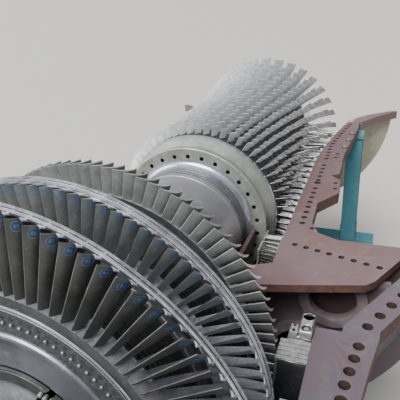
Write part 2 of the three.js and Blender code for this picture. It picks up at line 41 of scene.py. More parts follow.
import bpy
from bpy.props import FloatProperty, FloatVectorProperty, IntProperty, PointerProperty
from mathutils import Matrix, Vector

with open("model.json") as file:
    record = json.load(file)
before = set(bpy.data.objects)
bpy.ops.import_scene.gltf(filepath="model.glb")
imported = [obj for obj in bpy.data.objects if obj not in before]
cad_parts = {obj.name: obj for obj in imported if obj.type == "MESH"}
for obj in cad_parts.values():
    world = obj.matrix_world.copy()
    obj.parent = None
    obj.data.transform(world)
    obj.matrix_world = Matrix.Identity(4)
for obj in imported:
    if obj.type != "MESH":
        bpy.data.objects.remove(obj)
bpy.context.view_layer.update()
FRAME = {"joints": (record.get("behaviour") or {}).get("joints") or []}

# The rotor axis, the station from which lengths along it are counted, and the gap that the CAD model
# leaves between pieces that touch
MM = 0.001
AXIS = Vector(FRAME["joints"][0]["pos_m"])
HUB_FACE = -20
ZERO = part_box("last_turbine_wheel")[0].x - HUB_FACE * MM
CENTRE = Vector((0, 0, AXIS.z))
SEAM = 1e-5
GAP = 0.3

# Turbine rows, in millimetres: root is the blade foot and tip the inside of the shroud. foot and head are
# a blade's station, chord and turn there, bulge is its thickness as a share of the chord, band the reach
# of its shroud and mark the radius of its number
ROWS = {
    "last": {
        "from": -20, "to": 100, "root": 925, "tip": 1376, "bulge": 0.125,
        "foot": (40, 119, 0.2), "head": (40, 138, 0.6), "band": (4, 74), "shroud": 16, "mark": 1340,
    },
    "middle": {
        "from": 440, "to": 560, "root": 992, "tip": 1287, "bulge": 0.125,
        "foot": (500, 118, 0.2), "head": (500, 134, 0.6), "band": (454, 548), "shroud": 14, "mark": 1252,
    },
    "first": {
        "from": 950, "to": 1060, "root": 1030, "tip": 1214, "bulge": 0.16,
        "foot": (1005, 140, 0.74), "head": (1005, 158, 0.88), "band": None, "shroud": 0, "mark": None,
    },
}
SHROUD_PLATE = 0.55
PLATFORM_DEPTH = 40
PIN_CIRCLE = 745
NOTCH_RADIUS = 789

# Shafts, spacers, barrel and bolted flange
JOURNAL_RADIUS = 240
NECK_RADIUS = 205
SPACER_RADIUS = 870
BARREL_START = 1061
BARREL_FOOT = 860
BARREL_RADIUS = 589
COUPLING = {"circle": 270, "hole": 19, "depth": 140}
LOCK_POCKET = {"centre": (-225, 312), "length": 150, "width": 52}
BOLT_FLANGE = {"from": 2576, "to": 2640, "radius": 767, "holes": 30, "circle": 682, "hole": 21}

# Compressor: the drum narrows and the blade tips flare towards the inlet
COMPRESSOR_START = 2840
COMPRESSOR_STAGES = 17
AFT_STAGE_WIDTH = 145
FRONT_STAGE_WIDTH = 222
COMPRESSOR_LENGTH = COMPRESSOR_STAGES * (AFT_STAGE_WIDTH + FRONT_STAGE_WIDTH) / 2
AFT_HUB_RADIUS = 820
FRONT_HUB_RADIUS = 590
TIP_RADIUS = 925
TIP_FLARE = 172
FLARE_START = 4500
FLARE_LENGTH = 1460
BORE_CLEARANCE = 37
AFT_BLADES = 60
FRONT_BLADES = 34
AFT_VANES = 40
FRONT_VANES = 24

# Casing: the stations of its joints, from the exhaust's end to the inlet's mouth, its main sizes and the
# station and y of the holes and bolts of its compressor lengths
EXHAUST_END = -1240
SHELL_AFT = -60
SHELL_FORWARD = 1274
WRAPPER_FORWARD = 2450
DISCHARGE_FORWARD = 2600
CASING_SPLIT = 4480
INLET_AFT = 6340
INLET_MOUTH = 7060
JOINT_DEPTH = 120
WING_DEPTH = 70
TURBINE_BORE = 1428
BIG_BOLT_HOLE = 37
COLLAR = 65
WRAPPER = {"radius": 1610, "slope": 0.525, "wall": 40, "arm": 240, "rim": 200}
INNER_BARREL = {"from": 1640, "to": 2540, "bore": 640, "outside": 680}
BULKHEAD = 2100
PORTS = {"count": 7, "circle": 1510, "ring": 290, "bore": 203}
LARGE_HOLES = [(3783, -1086)]
OUTER_HOLES = [(3811, -1288), (3656, -1300), (2675, -1193), (4657, -1200), (4800, -1205)]
EDGE_BOLTS = [(5060, -1268), (5368, -1290), (5679, -1315)]

# Base: heights below the axis
FLOOR = -2600
RAIL_TOP = -2250
BEAM_TOP = -1950
GIRDER_PLATE = 30
STIFFENER = 20

# The camera's place in metres and its turns in degrees, and the brightness of the wall behind the machine
CAMERA = {"place": (-4.289, -1.734, 4.847), "yaw": 22.37, "pitch": 25.12, "roll": -4.0}
BACKDROP = 1.3


def hub_radius(x):
    """The drum's radius at a station, in millimetres."""
    t = (x - COMPRESSOR_START) / COMPRESSOR_LENGTH
    return AFT_HUB_RADIUS - (AFT_HUB_RADIUS - FRONT_HUB_RADIUS) * max(t, 0) ** 1.6


def tip_radius(x):
    """The compressor blades' tip radius at a station, in millimetres."""
    return TIP_RADIUS + TIP_FLARE * max(0, (x - FLARE_START) / FLARE_LENGTH) ** 1.5


def bore_radius(x):
    """The compressor casing's bore at a station, in millimetres."""
    return tip_radius(x) + BORE_CLEARANCE


def stage_share(stage):
    """How far a stage is along the compressor: 0 at the aft one, 1 at the inlet."""
    return (COMPRESSOR_STAGES - stage) / (COMPRESSOR_STAGES - 1)


def stage_span(stage):
    """Where a compressor stage starts and how wide it is; stage 1 is at the inlet."""
    start = COMPRESSOR_START
    for number in range(COMPRESSOR_STAGES, stage - 1, -1):
        width = AFT_STAGE_WIDTH + (FRONT_STAGE_WIDTH - AFT_STAGE_WIDTH) * stage_share(number)
        if number == stage:
            return start, width
        start += width


def at(x, y=0.0, z=0.0):
    """The point at a station and at offsets from the axis, all in millimetres."""
    return Vector((ZERO + x * MM, y * MM, AXIS.z + z * MM))


def on_circle(station, radius, angles):
    """Places on a circle round the axis, at angles that count from the left upwards."""
    return [at(station, radius * math.cos(a), radius * math.sin(a)) for a in angles]


def oblong(x0, x1, low, high):
    """The corners of an oblong between two stations."""
    return [(x0, low), (x1, low), (x1, high), (x0, high)]


# Finishes

def colour(code):
    """An sRGB hex value as linear RGBA."""
    parts = [int(code[i:i + 2], 16) / 255 for i in (1, 3, 5)]
    return [p / 12.92 if p <= 0.04045 else ((p + 0.055) / 1.055) ** 2.4 for p in parts] + [1.0]


def add_node(tree, kind, inputs=None, **settings):
    """Adds one shader node: an input is a value or another node's socket."""
    node = tree.nodes.new(kind)
    for name, value in settings.items():
        setattr(node, name, value)
    for name, value in (inputs or {}).items():
        if isinstance(value, bpy.types.NodeSocket):
            tree.links.new(value, node.inputs[name])
        else:
            node.inputs[name].default_value = value
    return node


FINISHES = {}


def finish(name, base, second, third, patch_mm, grain_mm, rough=0.5, metallic=0.0, grain_depth=0.15,
           rough_spread=0.15, third_share=0.62, ior=None):
    """A surface of one colour with patches of a second, specks of a third and a fine grain.

    patch_mm is the size of the patches and grain_mm that of the bumps."""
    if name in FINISHES:
        return FINISHES[name]
    material = bpy.data.materials.new(name)
    material.use_nodes = True
    tree = material.node_tree
    shader = tree.nodes["Principled BSDF"]
    place = add_node(tree, "ShaderNodeTexCoord").outputs["Object"]
    patches = add_node(tree, "ShaderNodeTexNoise", {
        "Vector": place, "Scale": 1 / (patch_mm * MM), "Detail": 6.0, "Roughness": 0.6})
    share = add_node(tree, "ShaderNodeMapRange", {
        "Value": patches.outputs["Fac"], "From Min": 0.38, "From Max": 0.64})
    specks = add_node(tree, "ShaderNodeTexNoise", {
        "Vector": place, "Scale": 3.1 / (patch_mm * MM), "Detail": 8.0, "Roughness": 0.7})
    speck_share = add_node(tree, "ShaderNodeMapRange", {
        "Value": specks.outputs["Fac"], "From Min": third_share - 0.05, "From Max": third_share + 0.09})
    ground = add_node(tree, "ShaderNodeMix", {
        0: share.outputs[0], 6: colour(base), 7: colour(second)}, data_type="RGBA")
    whole = add_node(tree, "ShaderNodeMix", {
        0: speck_share.outputs[0], 6: ground.outputs[2], 7: colour(third)}, data_type="RGBA")
    roughness = add_node(tree, "ShaderNodeMapRange", {
        "Value": specks.outputs["Fac"], "From Min": 0.3, "From Max": 0.7,
        "To Min": max(rough - rough_spread, 0.05), "To Max": min(rough + rough_spread, 1.0)})
    grain = add_node(tree, "ShaderNodeTexNoise", {
        "Vector": place, "Scale": 1 / (grain_mm * MM), "Detail": 3.0})
    bump = add_node(tree, "ShaderNodeBump", {
        "Height": grain.outputs["Fac"], "Strength": grain_depth, "Distance": grain_mm * MM * 0.5})
    tree.links.new(whole.outputs[2], shader.inputs["Base Color"])
    tree.links.new(roughness.outputs[0], shader.inputs["Roughness"])
    tree.links.new(bump.outputs["Normal"], shader.inputs["Normal"])
    shader.inputs["Metallic"].default_value = metallic
    if ior:
        shader.inputs["IOR"].default_value = ior
    FINISHES[name] = material
    return material


def turbine_alloy():
    """Cast nickel alloy after hours in hot gas: a dark, faintly green oxide with a satin sheen."""
    return finish("turbine_alloy_oxide", "#4f514f", "#40413f", "#616463", 160, 9, rough=0.42, metallic=0.5,
                  grain_depth=0.12)


def middle_row_alloy():
    """The same alloy with a paler oxide, as the middle row shows it."""
    return finish("middle_row_oxide", "#797d7a", "#666a67", "#8d918e", 140, 9, rough=0.45, metallic=0.4,
                  grain_depth=0.12)


def first_row_alloy():
    """The same alloy with the palest oxide, as the hottest row shows it."""
    return finish("first_row_oxide", "#868a87", "#727673", "#9c9f9c", 110, 8, rough=0.48, metallic=0.4)


def worn_edge():
    """Blade edges in a lighter satin metal: partly rubbed metal, partly a painted highlight along the edges.
    """
    return finish("satin_edge_painted_highlight", "#74746f", "#5b5b57", "#a3a39e", 60, 6, rough=0.42, metallic=0.7)


def gas_washed(key):
    """The hollow sides of the blades, washed by the gas to bare metal and painted lighter than the backs as a
    painted reflection of the bright sky, palest in the middle row.
    """
    if key == "middle":
        return finish("lilac_washed_alloy_painted_reflection", "#cfcfdb", "#b2b2bf", "#e2e2ec", 110, 7, rough=0.36,
                      metallic=0.45, grain_depth=0.06)
    return finish("grey_washed_alloy_painted_reflection", "#8b8c91", "#77787c", "#a5a6ab", 110, 7, rough=0.34,
                  metallic=0.7, grain_depth=0.06)


def shroud_steel():
    """Machined tip shrouds, silver with a faint cool tint and fine scratches along the turning."""
    return finish("machined_shroud", "#c3c5cb", "#9a9ca3", "#e6e7eb", 70, 5, rough=0.35, metallic=0.7)


def disc_forging():
    """Turned forging of a turbine disc: smooth mid grey satin with faint stains."""
    return finish("turned_disc_forging", "#85858e", "#75757c", "#96969f", 300, 6, rough=0.36, metallic=0.75,
                  grain_depth=0.05)


def dark_recess():
    """Dark grey in grooves, small holes, gaps and on the compressor's drum: painted shade where they lie in
    shadow, partly grease and soot.
    """
    return finish("soot_and_painted_shade", "#35363a", "#26272a", "#55575c", 90, 6, rough=0.6, metallic=0.3)


def mottled_land():
    """The rough-turned land round the locking pins, mottled with oil."""
    return finish("mottled_land", "#47494c", "#35373a", "#6d7073", 28, 5, rough=0.5, metallic=0.5,
                  third_share=0.56)


def sooty_forging():
    """Forged steel between the turbine rows, dark with soot."""
    return finish("sooty_forging", "#4c4d4e", "#3c3d3e", "#6a6b6c", 120, 6, rough=0.5, metallic=0.5)


def polished_land():
    """Ground and polished lands of a disc."""
    return finish("polished_land", "#bdbdc6", "#a9a9b4", "#d0d0d8", 260, 14, rough=0.26, metallic=0.8,
                  grain_depth=0.02, rough_spread=0.04)


def rotor_forging():
    """Smooth light grey surface of the distance piece and shafts, with handling stains."""
    return finish("turned_shaft_forging", "#99989c", "#8b8a8d", "#aeadb0", 260, 7, rough=0.4, metallic=0.6,
                  grain_depth=0.06)


def flange_forging():
    """Grey-green oxide film on the compressor's bolted flange."""
    return finish("oxidised_flange", "#969893", "#83867f", "#adafa9", 170, 7, rough=0.5, metallic=0.5)


def compressor_steel():
    """Blasted stainless compressor blades, bright with grey smears."""
    return finish("blasted_compressor_steel", "#f0f0f1", "#cccdcf", "#fafafa", 80, 6, rough=0.42,
                  metallic=0.12)


def shaded_steel():
    """The same blades' other side in a duller grey: painted shade, which dims the light that bounces between
    the blades.
    """
    return finish("compressor_steel_painted_shade", "#a0a1a3", "#858688", "#b4b5b7", 80, 6, rough=0.45, metallic=0.2)


def primer():
    """Dusty purple-brown primer of the casing, with paler dust and rubbed spots."""
    return finish("dusty_primer", "#68575b", "#664f4d", "#776860", 420, 5, rough=0.7, grain_depth=0.2,
                  ior=1.5)


def grey_primer():
    """The same primer round the turbine, greyer and darker."""
    return finish("grey_primer", "#57525a", "#5a4b50", "#69605d", 420, 5, rough=0.7, grain_depth=0.2,
                  ior=1.5)


def rusty_edge():
    """Edges and sides of the casing where the primer has gone and red-brown rust shows."""
    return finish("rust_red_edge", "#5c4038", "#482f29", "#70544a", 70, 4, rough=0.85, grain_depth=0.4)


def dark_casting():
    """Oily unpainted casting inside the casing, and washers."""
    return finish("oily_casting", "#4c3c3b", "#3c2f2e", "#5f504d", 180, 6, rough=0.6, metallic=0.2)


def port_wall():
    """The cast wall with the combustor ports, brown with heat, and painted lighter than its own colour as
    painted light where the wings shade it.
    """
    return finish("port_wall", "#6c5c61", "#5d4e52", "#7c6d71", 180, 6, rough=0.7)


def port_metal():
    """Machined rings round the combustor ports, paler than the wall that they stand on, and painted lighter
    still as painted light in the wings' shade.
    """
    return finish("port_ring_metal", "#8b7d80", "#776b6f", "#9d9293", 150, 5, rough=0.6, metallic=0.2)


def bore_dark():
    """The unlit walls of bolt holes, painted dark as painted shade and brown with old grease."""
    return finish("hole_painted_shade", "#3a2a26", "#2a1e1b", "#59413a", 30, 3, rough=0.7)


def ring_metal():
    """Machined segments, bearing shells and bolts, bright and slightly scratched; on the compressor blades'
    edges the same bright metal is a painted highlight, and it also covers the tips of the first turbine row's
    blades.
    """
    return finish("machined_metal_and_painted_highlight", "#c9c9c6", "#a5a5a2", "#e2e2df", 60, 4, rough=0.35, metallic=0.75)


def base_paint():
    """Worn teal-blue paint on the steel base, with rubbed and rusty spots."""
    return finish("worn_teal_paint", "#4f8d9a", "#447c88", "#5c5349", 320, 6, rough=0.5, third_share=0.68,
                  ior=1.5)


def inlet_paint():
    """Dirty cream paint inside the inlet casing."""
    return finish("dirty_cream_paint", "#aaa492", "#958f7e", "#c2bdac", 300, 6, rough=0.7, ior=1.5)


def marker_ink():
    """Blue marker ink of the blade numbers."""
    return finish("blue_marker_ink", "#3f6ba6", "#356096", "#5a86bc", 20, 3, rough=0.6)


# Modelling by hand, in code

def start_drawing(name, points, close=True):
    """Starts a mesh at one point and draws it on by extruding that point from place to place."""
    bpy.ops.object.select_all(action="DESELECT")
    bpy.ops.mesh.primitive_plane_add(enter_editmode=True)
    bpy.ops.mesh.merge(type="CENTER")
    bpy.ops.transform.translate(value=points[0])
    for before, after in zip(points, points[1:]):
        bpy.ops.mesh.extrude_vertices_move(TRANSFORM_OT_translate={"value": after - before})
    bpy.ops.mesh.select_all(action="SELECT")
    if close:
        bpy.ops.mesh.edge_face_add()
    drawn = bpy.context.object
    drawn.name = name
    return drawn


def finish_drawing(material, smooth=30):
    """Closes the seams, turns the faces outwards and leaves edit mode."""
    bpy.ops.mesh.select_all(action="SELECT")
    bpy.ops.mesh.remove_doubles(threshold=SEAM)
    bpy.ops.mesh.normals_make_consistent(inside=False)
    bpy.ops.object.mode_set(mode="OBJECT")
    piece = bpy.context.object
    if not piece.data.materials:
        piece.data.materials.append(material)
    bpy.ops.object.shade_smooth_by_angle(angle=math.radians(smooth))
    return piece


def spin(steps, turn, copies=False):
    """Spins what is selected about the rotor axis; a positive turn goes from the top to the right."""
    bpy.ops.mesh.spin(steps=steps, angle=turn, dupli=copies, center=CENTRE, axis=(-1, 0, 0))


def revolve(name, profile, material, sides=128):
    """A turned piece, from [station, radius] points."""
    points = [at(x, 0, r) for x, r in profile]
    start_drawing(name, points, close=profile[0][1] > 0)
    spin(sides, 2 * math.pi)
    return finish_drawing(material)


def lower_half(name, loop, material):
    """The lower half of a ring, from a closed loop of [station, radius] points."""
    start_drawing(name, [at(x, -r, 0) for x, r in loop])
    spin(96, math.pi)
    return finish_drawing(material)


def slab(name, outline, top, depth, material):
    """A plate whose top is at a height above the axis, from [station, y] points."""
    start_drawing(name, [at(x, y, top) for x, y in outline])
    bpy.ops.mesh.extrude_region_move(TRANSFORM_OT_translate={"value": (0, 0, -depth * MM)})
    return finish_drawing(material)


def select_only(*pieces):
    """Selects these pieces, with the first one active."""
    bpy.ops.object.select_all(action="DESELECT")
    for piece in pieces:
        piece.select_set(True)
    bpy.context.view_layer.objects.active = pieces[0]


def open_mesh(piece):
    """Goes into a piece's edit mode with all of it selected."""
    select_only(piece)
    bpy.ops.object.mode_set(mode="EDIT")
    bpy.ops.mesh.select_all(action="SELECT")


def turn_about_axis(piece, angle):
    """Turns a finished piece about the rotor axis; a positive angle goes from the top to the right."""
    turn = Matrix.Rotation(angle, 4, "X")
    piece.data.transform(Matrix.Translation(AXIS) @ turn @ Matrix.Translation(-AXIS))


def weld(first, *others):
    """Joins pieces into one object, each still a closed shell."""
    select_only(first, *others)
    bpy.ops.object.join()
    return first


def apply_modifier(piece, kind, **settings):
    """Adds a modifier to a piece and applies it."""
    select_only(piece)
    modifier = piece.modifiers.new(kind.lower(), kind)
    for name, value in settings.items():
        setattr(modifier, name, value)
    bpy.ops.object.modifier_apply(modifier=modifier.name)


def carve(piece, tool, operation="DIFFERENCE"):
    """Cuts a tool out of a piece, or fuses it on, and removes the tool."""
    apply_modifier(piece, "BOOLEAN", object=tool, operation=operation, solver="EXACT",
                   material_mode="TRANSFER")
    bpy.data.objects.remove(tool)
    return piece


def fuse(piece, *others):
    """Fuses others on a piece, so that they become one solid."""
    for other in others:
        carve(piece, other, "UNION")
    return piece


def trim_top(piece, depth):
    """Cuts off what stands less than a depth below the joint plane, and closes the cut."""
    open_mesh(piece)
    bpy.ops.mesh.bisect(plane_co=at(0, 0, -depth), plane_no=(0, 0, 1), use_fill=True, clear_outer=True)
    bpy.ops.object.mode_set(mode="OBJECT")
    return piece


def pins(name, places, radius, depth, material, sides=32, axis="z"):
    """Round rods of one size, each with its middle at its place."""
    rods = []
    for place in places:
        bpy.ops.object.select_all(action="DESELECT")
        bpy.ops.mesh.primitive_cylinder_add(vertices=sides, radius=radius * MM, depth=depth * MM)
        rod = bpy.context.object
        turn = Matrix.Rotation(math.pi / 2, 4, "Y") if axis == "x" else Matrix.Identity(4)
        rod.data.transform(Matrix.Translation(place) @ turn)
        rod.data.materials.append(material)
        rods.append(rod)
    rods[0].name = name
    return weld(*rods) if len(rods) > 1 else rods[0]


def soften(piece, width, segments=2, edge=None, angle=35):
    """Rounds the sharp edges of a piece, with a finish of their own if one is given."""
    index = -1
    if edge:
        piece.data.materials.append(edge)
        index = len(piece.data.materials) - 1
    apply_modifier(piece, "BEVEL", width=width * MM, segments=segments, limit_method="ANGLE",
                   angle_limit=math.radians(angle), material=index)
    select_only(piece)
    bpy.ops.object.shade_smooth_by_angle(angle=math.radians(30))
    return piece


def paint_faces(piece, material, test):
    """Gives a finish to the faces whose centre and normal pass a test."""
    slot = piece.data.materials.find(material.name)
    if slot < 0:
        piece.data.materials.append(material)
        slot = len(piece.data.materials) - 1
    for face in piece.data.polygons:
        if test(face.center, face.normal):
            face.material_index = slot


def hand_over(piece, name, body, slot, *nodes):
    """Names a finished piece, lets it ride on its body and stand for its solids."""
    piece.name = name
    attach(piece, body)
    if nodes:
        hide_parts(*nodes)


# Blades

NOSE_TO_TAIL = (0.0, 0.06, 0.2, 0.4, 0.62, 0.83, 1.0)
FEW_STATIONS = (0.0, 0.12, 0.38, 0.7, 1.0)


def blade_section(bow, thickness, stations=NOSE_TO_TAIL):
    """A blade section for a chord of 1: along its back from nose to tail, then along its front."""
    def half(u):
        return thickness * (1.48 * math.sqrt(u) * (1 - u) + 0.09 + 0.2 * u)

    middle = [(u, 4 * bow * u * (1 - u)) for u in stations]
    back = [(u, v + half(u) / 2) for u, v in middle]
    front = [(u, v - half(u) / 2) for u, v in reversed(middle)]
    return back + front


def section_point(u, v, station, chord, turn, radius):
    """A section's point on the blade that stands at the top of the wheel."""
    along = (u - 0.5) * chord
    out = v * chord
    x = station - along * math.cos(turn) - out * math.sin(turn)
    y = along * math.sin(turn) - out * math.cos(turn)
    return at(x, y, radius)


def blade(name, radii, foot, head, section, material, levels, edge=None, front=None):
    """One blade, lifted from its foot section to its head section by extruding, turning and scaling.

    foot and head are the station of the middle, the chord and the turn from the axis. edge and front
    are the finishes of the edges and of the hollow side, where they differ: the lighter edges are partly a
    painted highlight, the turbine blades' lighter hollow side is partly a painted reflection and the
    compressor blades' darker hidden side is painted shade."""
    (x0, chord0, turn0), (x1, chord1, turn1) = foot, head
    start_drawing(name, [section_point(u, v, x0, chord0, turn0, radii[0]) for u, v in section])
    for level in range(1, levels + 1):
        before, after = (level - 1) / levels, level / levels
        scale = (chord0 + (chord1 - chord0) * after) / (chord0 + (chord1 - chord0) * before)
        rise = Vector(((x1 - x0) * MM / levels, 0, (radii[1] - radii[0]) * MM / levels))
        bpy.ops.mesh.extrude_region_move(TRANSFORM_OT_translate={"value": rise})
        middle = at(x0 + (x1 - x0) * after, 0, radii[0] + (radii[1] - radii[0]) * after)
        bpy.ops.transform.resize(value=(scale, scale, 1), center_override=middle)
        bpy.ops.transform.rotate(value=(turn1 - turn0) / levels, orient_axis="Z", center_override=middle)
    piece = finish_drawing(material, smooth=40)
    if front:
        def hollow(centre, normal):
            share = ((centre.z - AXIS.z) / MM - radii[0]) / (radii[1] - radii[0])
            turn = turn0 + (turn1 - turn0) * share
            return normal.x * math.sin(turn) + normal.y * math.cos(turn) > 0.2

        paint_faces(piece, front, hollow)
    if edge:
        paint_narrow_faces(piece, edge)
    return piece


def paint_narrow_faces(piece, edge, narrow=5.5 * MM):
    """Gives the edge finish, a lighter metal that is partly a painted highlight, to the blade's nose and
    tail, which are its narrowest faces.
    """
    piece.data.materials.append(edge)
    slot = len(piece.data.materials) - 1
    corners = piece.data.vertices
    for face in piece.data.polygons:
        ring = [corners[i].co for i in face.vertices]
        if len(ring) == 4 and min((a - b).length for a, b in zip(ring, ring[1:] + ring[:1])) < narrow:
            face.material_index = slot


def around(piece, count, share=1.0):
    """Copies a piece all round the axis, or round a share of it, inside its own mesh."""
    open_mesh(piece)
    spin(count - 1, 2 * math.pi * share * (count - 1) / count, copies=True)
    bpy.ops.object.mode_set(mode="OBJECT")
    return piece


def lower_row(piece, count):
    """Stands copies of a piece all round the lower half, from the right joint to the left one."""
    turn_about_axis(piece, math.pi / 2 + math.pi / count / 2)
    return around(piece, count, share=0.5)


# Rotor pieces

def turbine_row(key, settings):
    """A turbine wheel: disc, blade platforms, blades, and the shroud where the row has one."""
    row = ROWS[key]
    count = settings.turbine_blades
    alloy = {"last": turbine_alloy, "middle": middle_row_alloy, "first": first_row_alloy}[key]()
    # The hollow side is painted lighter, partly as a painted reflection of the sky, and the edges lighter,
    # partly as a painted highlight.
    one = blade(f"{key}_blade", (row["root"] - 4, row["tip"]), row["foot"], row["head"],
                blade_section(0.16, row["bulge"]), alloy, levels=4, edge=worn_edge(), front=gas_washed(key))
    if not row["shroud"]:
        paint_faces(one, ring_metal(), lambda centre, normal: normal.z > 0.9)
    parts = [around(one, count), around(platform(row, count), count)]
    if row["shroud"]:
        parts.append(around(shroud_segment(row, count), count))
        parts += seal_fins(row)
    parts.append(last_disc(settings) if key == "last" else plain_disc(row))
    return weld(*parts)


def platform(row, count):
    """The foot plate of one blade: a skewed plate that meets its neighbours along the stagger."""
    half = math.pi * row["root"] / count - 0.8
    skew = 17
    corners = [(row["from"], half + skew), (row["from"], -half + skew),
               (row["to"], -half - skew), (row["to"], half - skew)]
    plate = slab("platform", corners, row["root"], PLATFORM_DEPTH, shroud_steel())
    paint_faces(plate, sooty_forging(), lambda centre, normal: normal.z < 0.5)
    return plate


def shroud_segment(row, count):
    """One blade's piece of the tip shroud, with slanting ends and a near edge cut back over the blade."""
    near, far = row["band"]
    half = math.pi * (row["tip"] + row["shroud"]) / count - 0.7
    skew, scallop, points = 12, 22, 8
    corners = [(near + scallop * (1 - (2 * k / points - 1) ** 2), half + skew - 2 * half * k / points)
               for k in range(points + 1)]
    corners += [(far, -half - skew), (far, half - skew)]
    thickness = row["shroud"] * SHROUD_PLATE
    return slab("shroud_segment", corners, row["tip"] + thickness, thickness, shroud_steel())


def seal_fins(row):
    """The thin rings that stand on the shroud and seal it against the casing, each beside a thin dark ring
    that is the painted shade of a groove.
    """
    near, far = row["band"]
    plate = row["tip"] + row["shroud"] * SHROUD_PLATE
    foot, top = plate - 4, row["tip"] + row["shroud"] + 6
    fins = []
    for share in (0.36, 0.82):
        x = near + (far - near) * share
        fin = [(x - 5, foot), (x - 2, top), (x + 2, top), (x + 5, foot)]
        groove = oblong(x - 11, x - 4, foot, plate + 0.8)
        fins.append(revolve("seal_fin", fin, shroud_steel(), sides=184))
        # The groove is a dark ring standing just above the plate: painted shade, not a cut.
        fins.append(revolve("fin_groove_shade", groove, dark_recess(), sides=184))
    return fins


def plain_disc(row):
    """A disc that shows only its rim, with a shallow groove in its near face."""
    near, far = row["from"], row["to"]
    rim = row["root"] - PLATFORM_DEPTH + 2
    face = [(near, 0), (near, rim - 60), (near + 8, rim - 50), (near, rim - 40), (near, rim)]
    return revolve("disc", face + [(far, rim), (far, 0)], disc_forging(), sides=184)


def last_disc(settings):
    """The near face of the last disc: dark and polished lands, groove, pin ring and a bright lip."""
    land = [(-12, 430), (-12, 440), (-18, 446), (-15, 520), (-18, 590), (-23, 618), (-30, 640), (-33, 655),
            (-31, 668), (-22, 677), (-13, 681), (-12, PIN_CIRCLE), (-13, 812)]
    lip = [(-4, 818), (-4, 828), (-26, 833), (-29, 838), (-29, 848), (-26, 849), (-26, 853), (-29, 854),
           (-29, 864), (-26, 868), (-20, 869)]
    disc = revolve("last_disc", land + lip + [(-20, 887), (96, 887), (96, 430)], disc_forging(), sides=256)
    # The groove from 813 to 834 and the fine line in the lip from 847.5 to 854.5 are dark grey as painted
    # shade.
    bands = [
        (677, 813, mottled_land()),
        (813, 834, dark_recess()),
        (834, 868, polished_land()),
        (847.5, 854.5, dark_recess()),
        (868, 888, sooty_forging()),
    ]
    for low, high, material in bands:
        paint_faces(disc, material, lambda c, n: low < radius_of(c) < high and c.x < ZERO)
    bpy.ops.object.select_all(action="DESELECT")
    bpy.ops.mesh.primitive_uv_sphere_add(segments=10, ring_count=6, radius=12 * MM)
    pin = bpy.context.object
    pin.data.transform(Matrix.Translation(at(-15, 0, PIN_CIRCLE)))
    pin.data.materials.append(disc_forging())
    bpy.ops.object.shade_smooth()
    # The notches are small dark squares on the face: painted shade.
    notch = slab("notch", oblong(-14, -11, -11, 11), NOTCH_RADIUS, 20, dark_recess())
    return weld(disc, around(pin, settings.turbine_blades), around(notch, settings.turbine_blades))


def radius_of(point):
    """A point's distance from the rotor axis, in millimetres."""
    return (point - AXIS).yz.length / MM


def blade_marks(key, settings, wheel):
    """Circles with counting numbers, drawn on the back of each blade of a wheel near its tip."""
    row = ROWS[key]
    count = settings.turbine_blades
    share = (row["mark"] - row["root"]) / (row["tip"] - row["root"])
    station, chord, turn = (a + (b - a) * share for a, b in zip(row["foot"], row["head"]))
    spot = section_point(0.7, 0.2, station, chord, turn, row["mark"])
    out = Vector((-math.sin(turn), -math.cos(turn), 0))
    side = Vector((0, 0, 1)).cross(out)
    face = Matrix((side, (0, 0, 1), out)).transposed().to_4x4()
    marks = []
    for number in range(1, count + 1):
        mark = number_mark(number, settings.mark_size)
        mark.data.transform(Matrix.Translation(spot) @ face)
        turn_about_axis(mark, -2 * math.pi * number / count)
        marks.append(mark)
    written = weld(*marks)
    apply_modifier(written, "SHRINKWRAP", target=wheel, wrap_mode="ABOVE_SURFACE", offset=0.0008)
    return written


def number_mark(number, size):
    """A number in a drawn circle, flat and in marker ink."""
    bpy.ops.object.select_all(action="DESELECT")
    bpy.ops.object.text_add()
    text = bpy.context.object
    text.data.body = str(number)
    text.data.size = size * 0.52
    text.data.align_x = "CENTER"
    text.data.align_y = "CENTER"
    text.data.resolution_u = 2
    bpy.ops.object.convert(target="MESH")
    digits = bpy.context.object
    mark = weld(digits, mark_ring(size))
    mark.data.materials.clear()
    mark.data.materials.append(marker_ink())
    return mark


def mark_ring(size):
    """A drawn circle: a flat ring, inset from a disc whose middle is then deleted."""
    bpy.ops.object.select_all(action="DESELECT")
    bpy.ops.mesh.primitive_circle_add(vertices=20, radius=size / 2, fill_type="NGON", enter_editmode=True)
    bpy.ops.mesh.inset(thickness=size * 0.055)
    bpy.ops.mesh.delete(type="FACE")
    bpy.ops.object.mode_set(mode="OBJECT")
    return bpy.context.object


def spacer(aft, forward):
    """A spacer between two turbine discs, with sealing ridges round it."""
    start, end = ROWS[aft]["to"] + GAP, ROWS[forward]["from"] - GAP
    pitch, ridge = 34, SPACER_RADIUS + 9
    profile = [(start, 0), (start, SPACER_RADIUS)]
    for k in range(int((end - start - 60) / pitch)):
        x = start + 40 + k * pitch
        profile += [(x - 5, SPACER_RADIUS), (x - 2, ridge), (x + 2, ridge), (x + 5, SPACER_RADIUS)]
    # Dark grey all over: painted shade in the deep gap between the discs, partly soot.
    return revolve("spacer", profile + [(end, SPACER_RADIUS), (end, 0)], dark_recess(), sides=144)


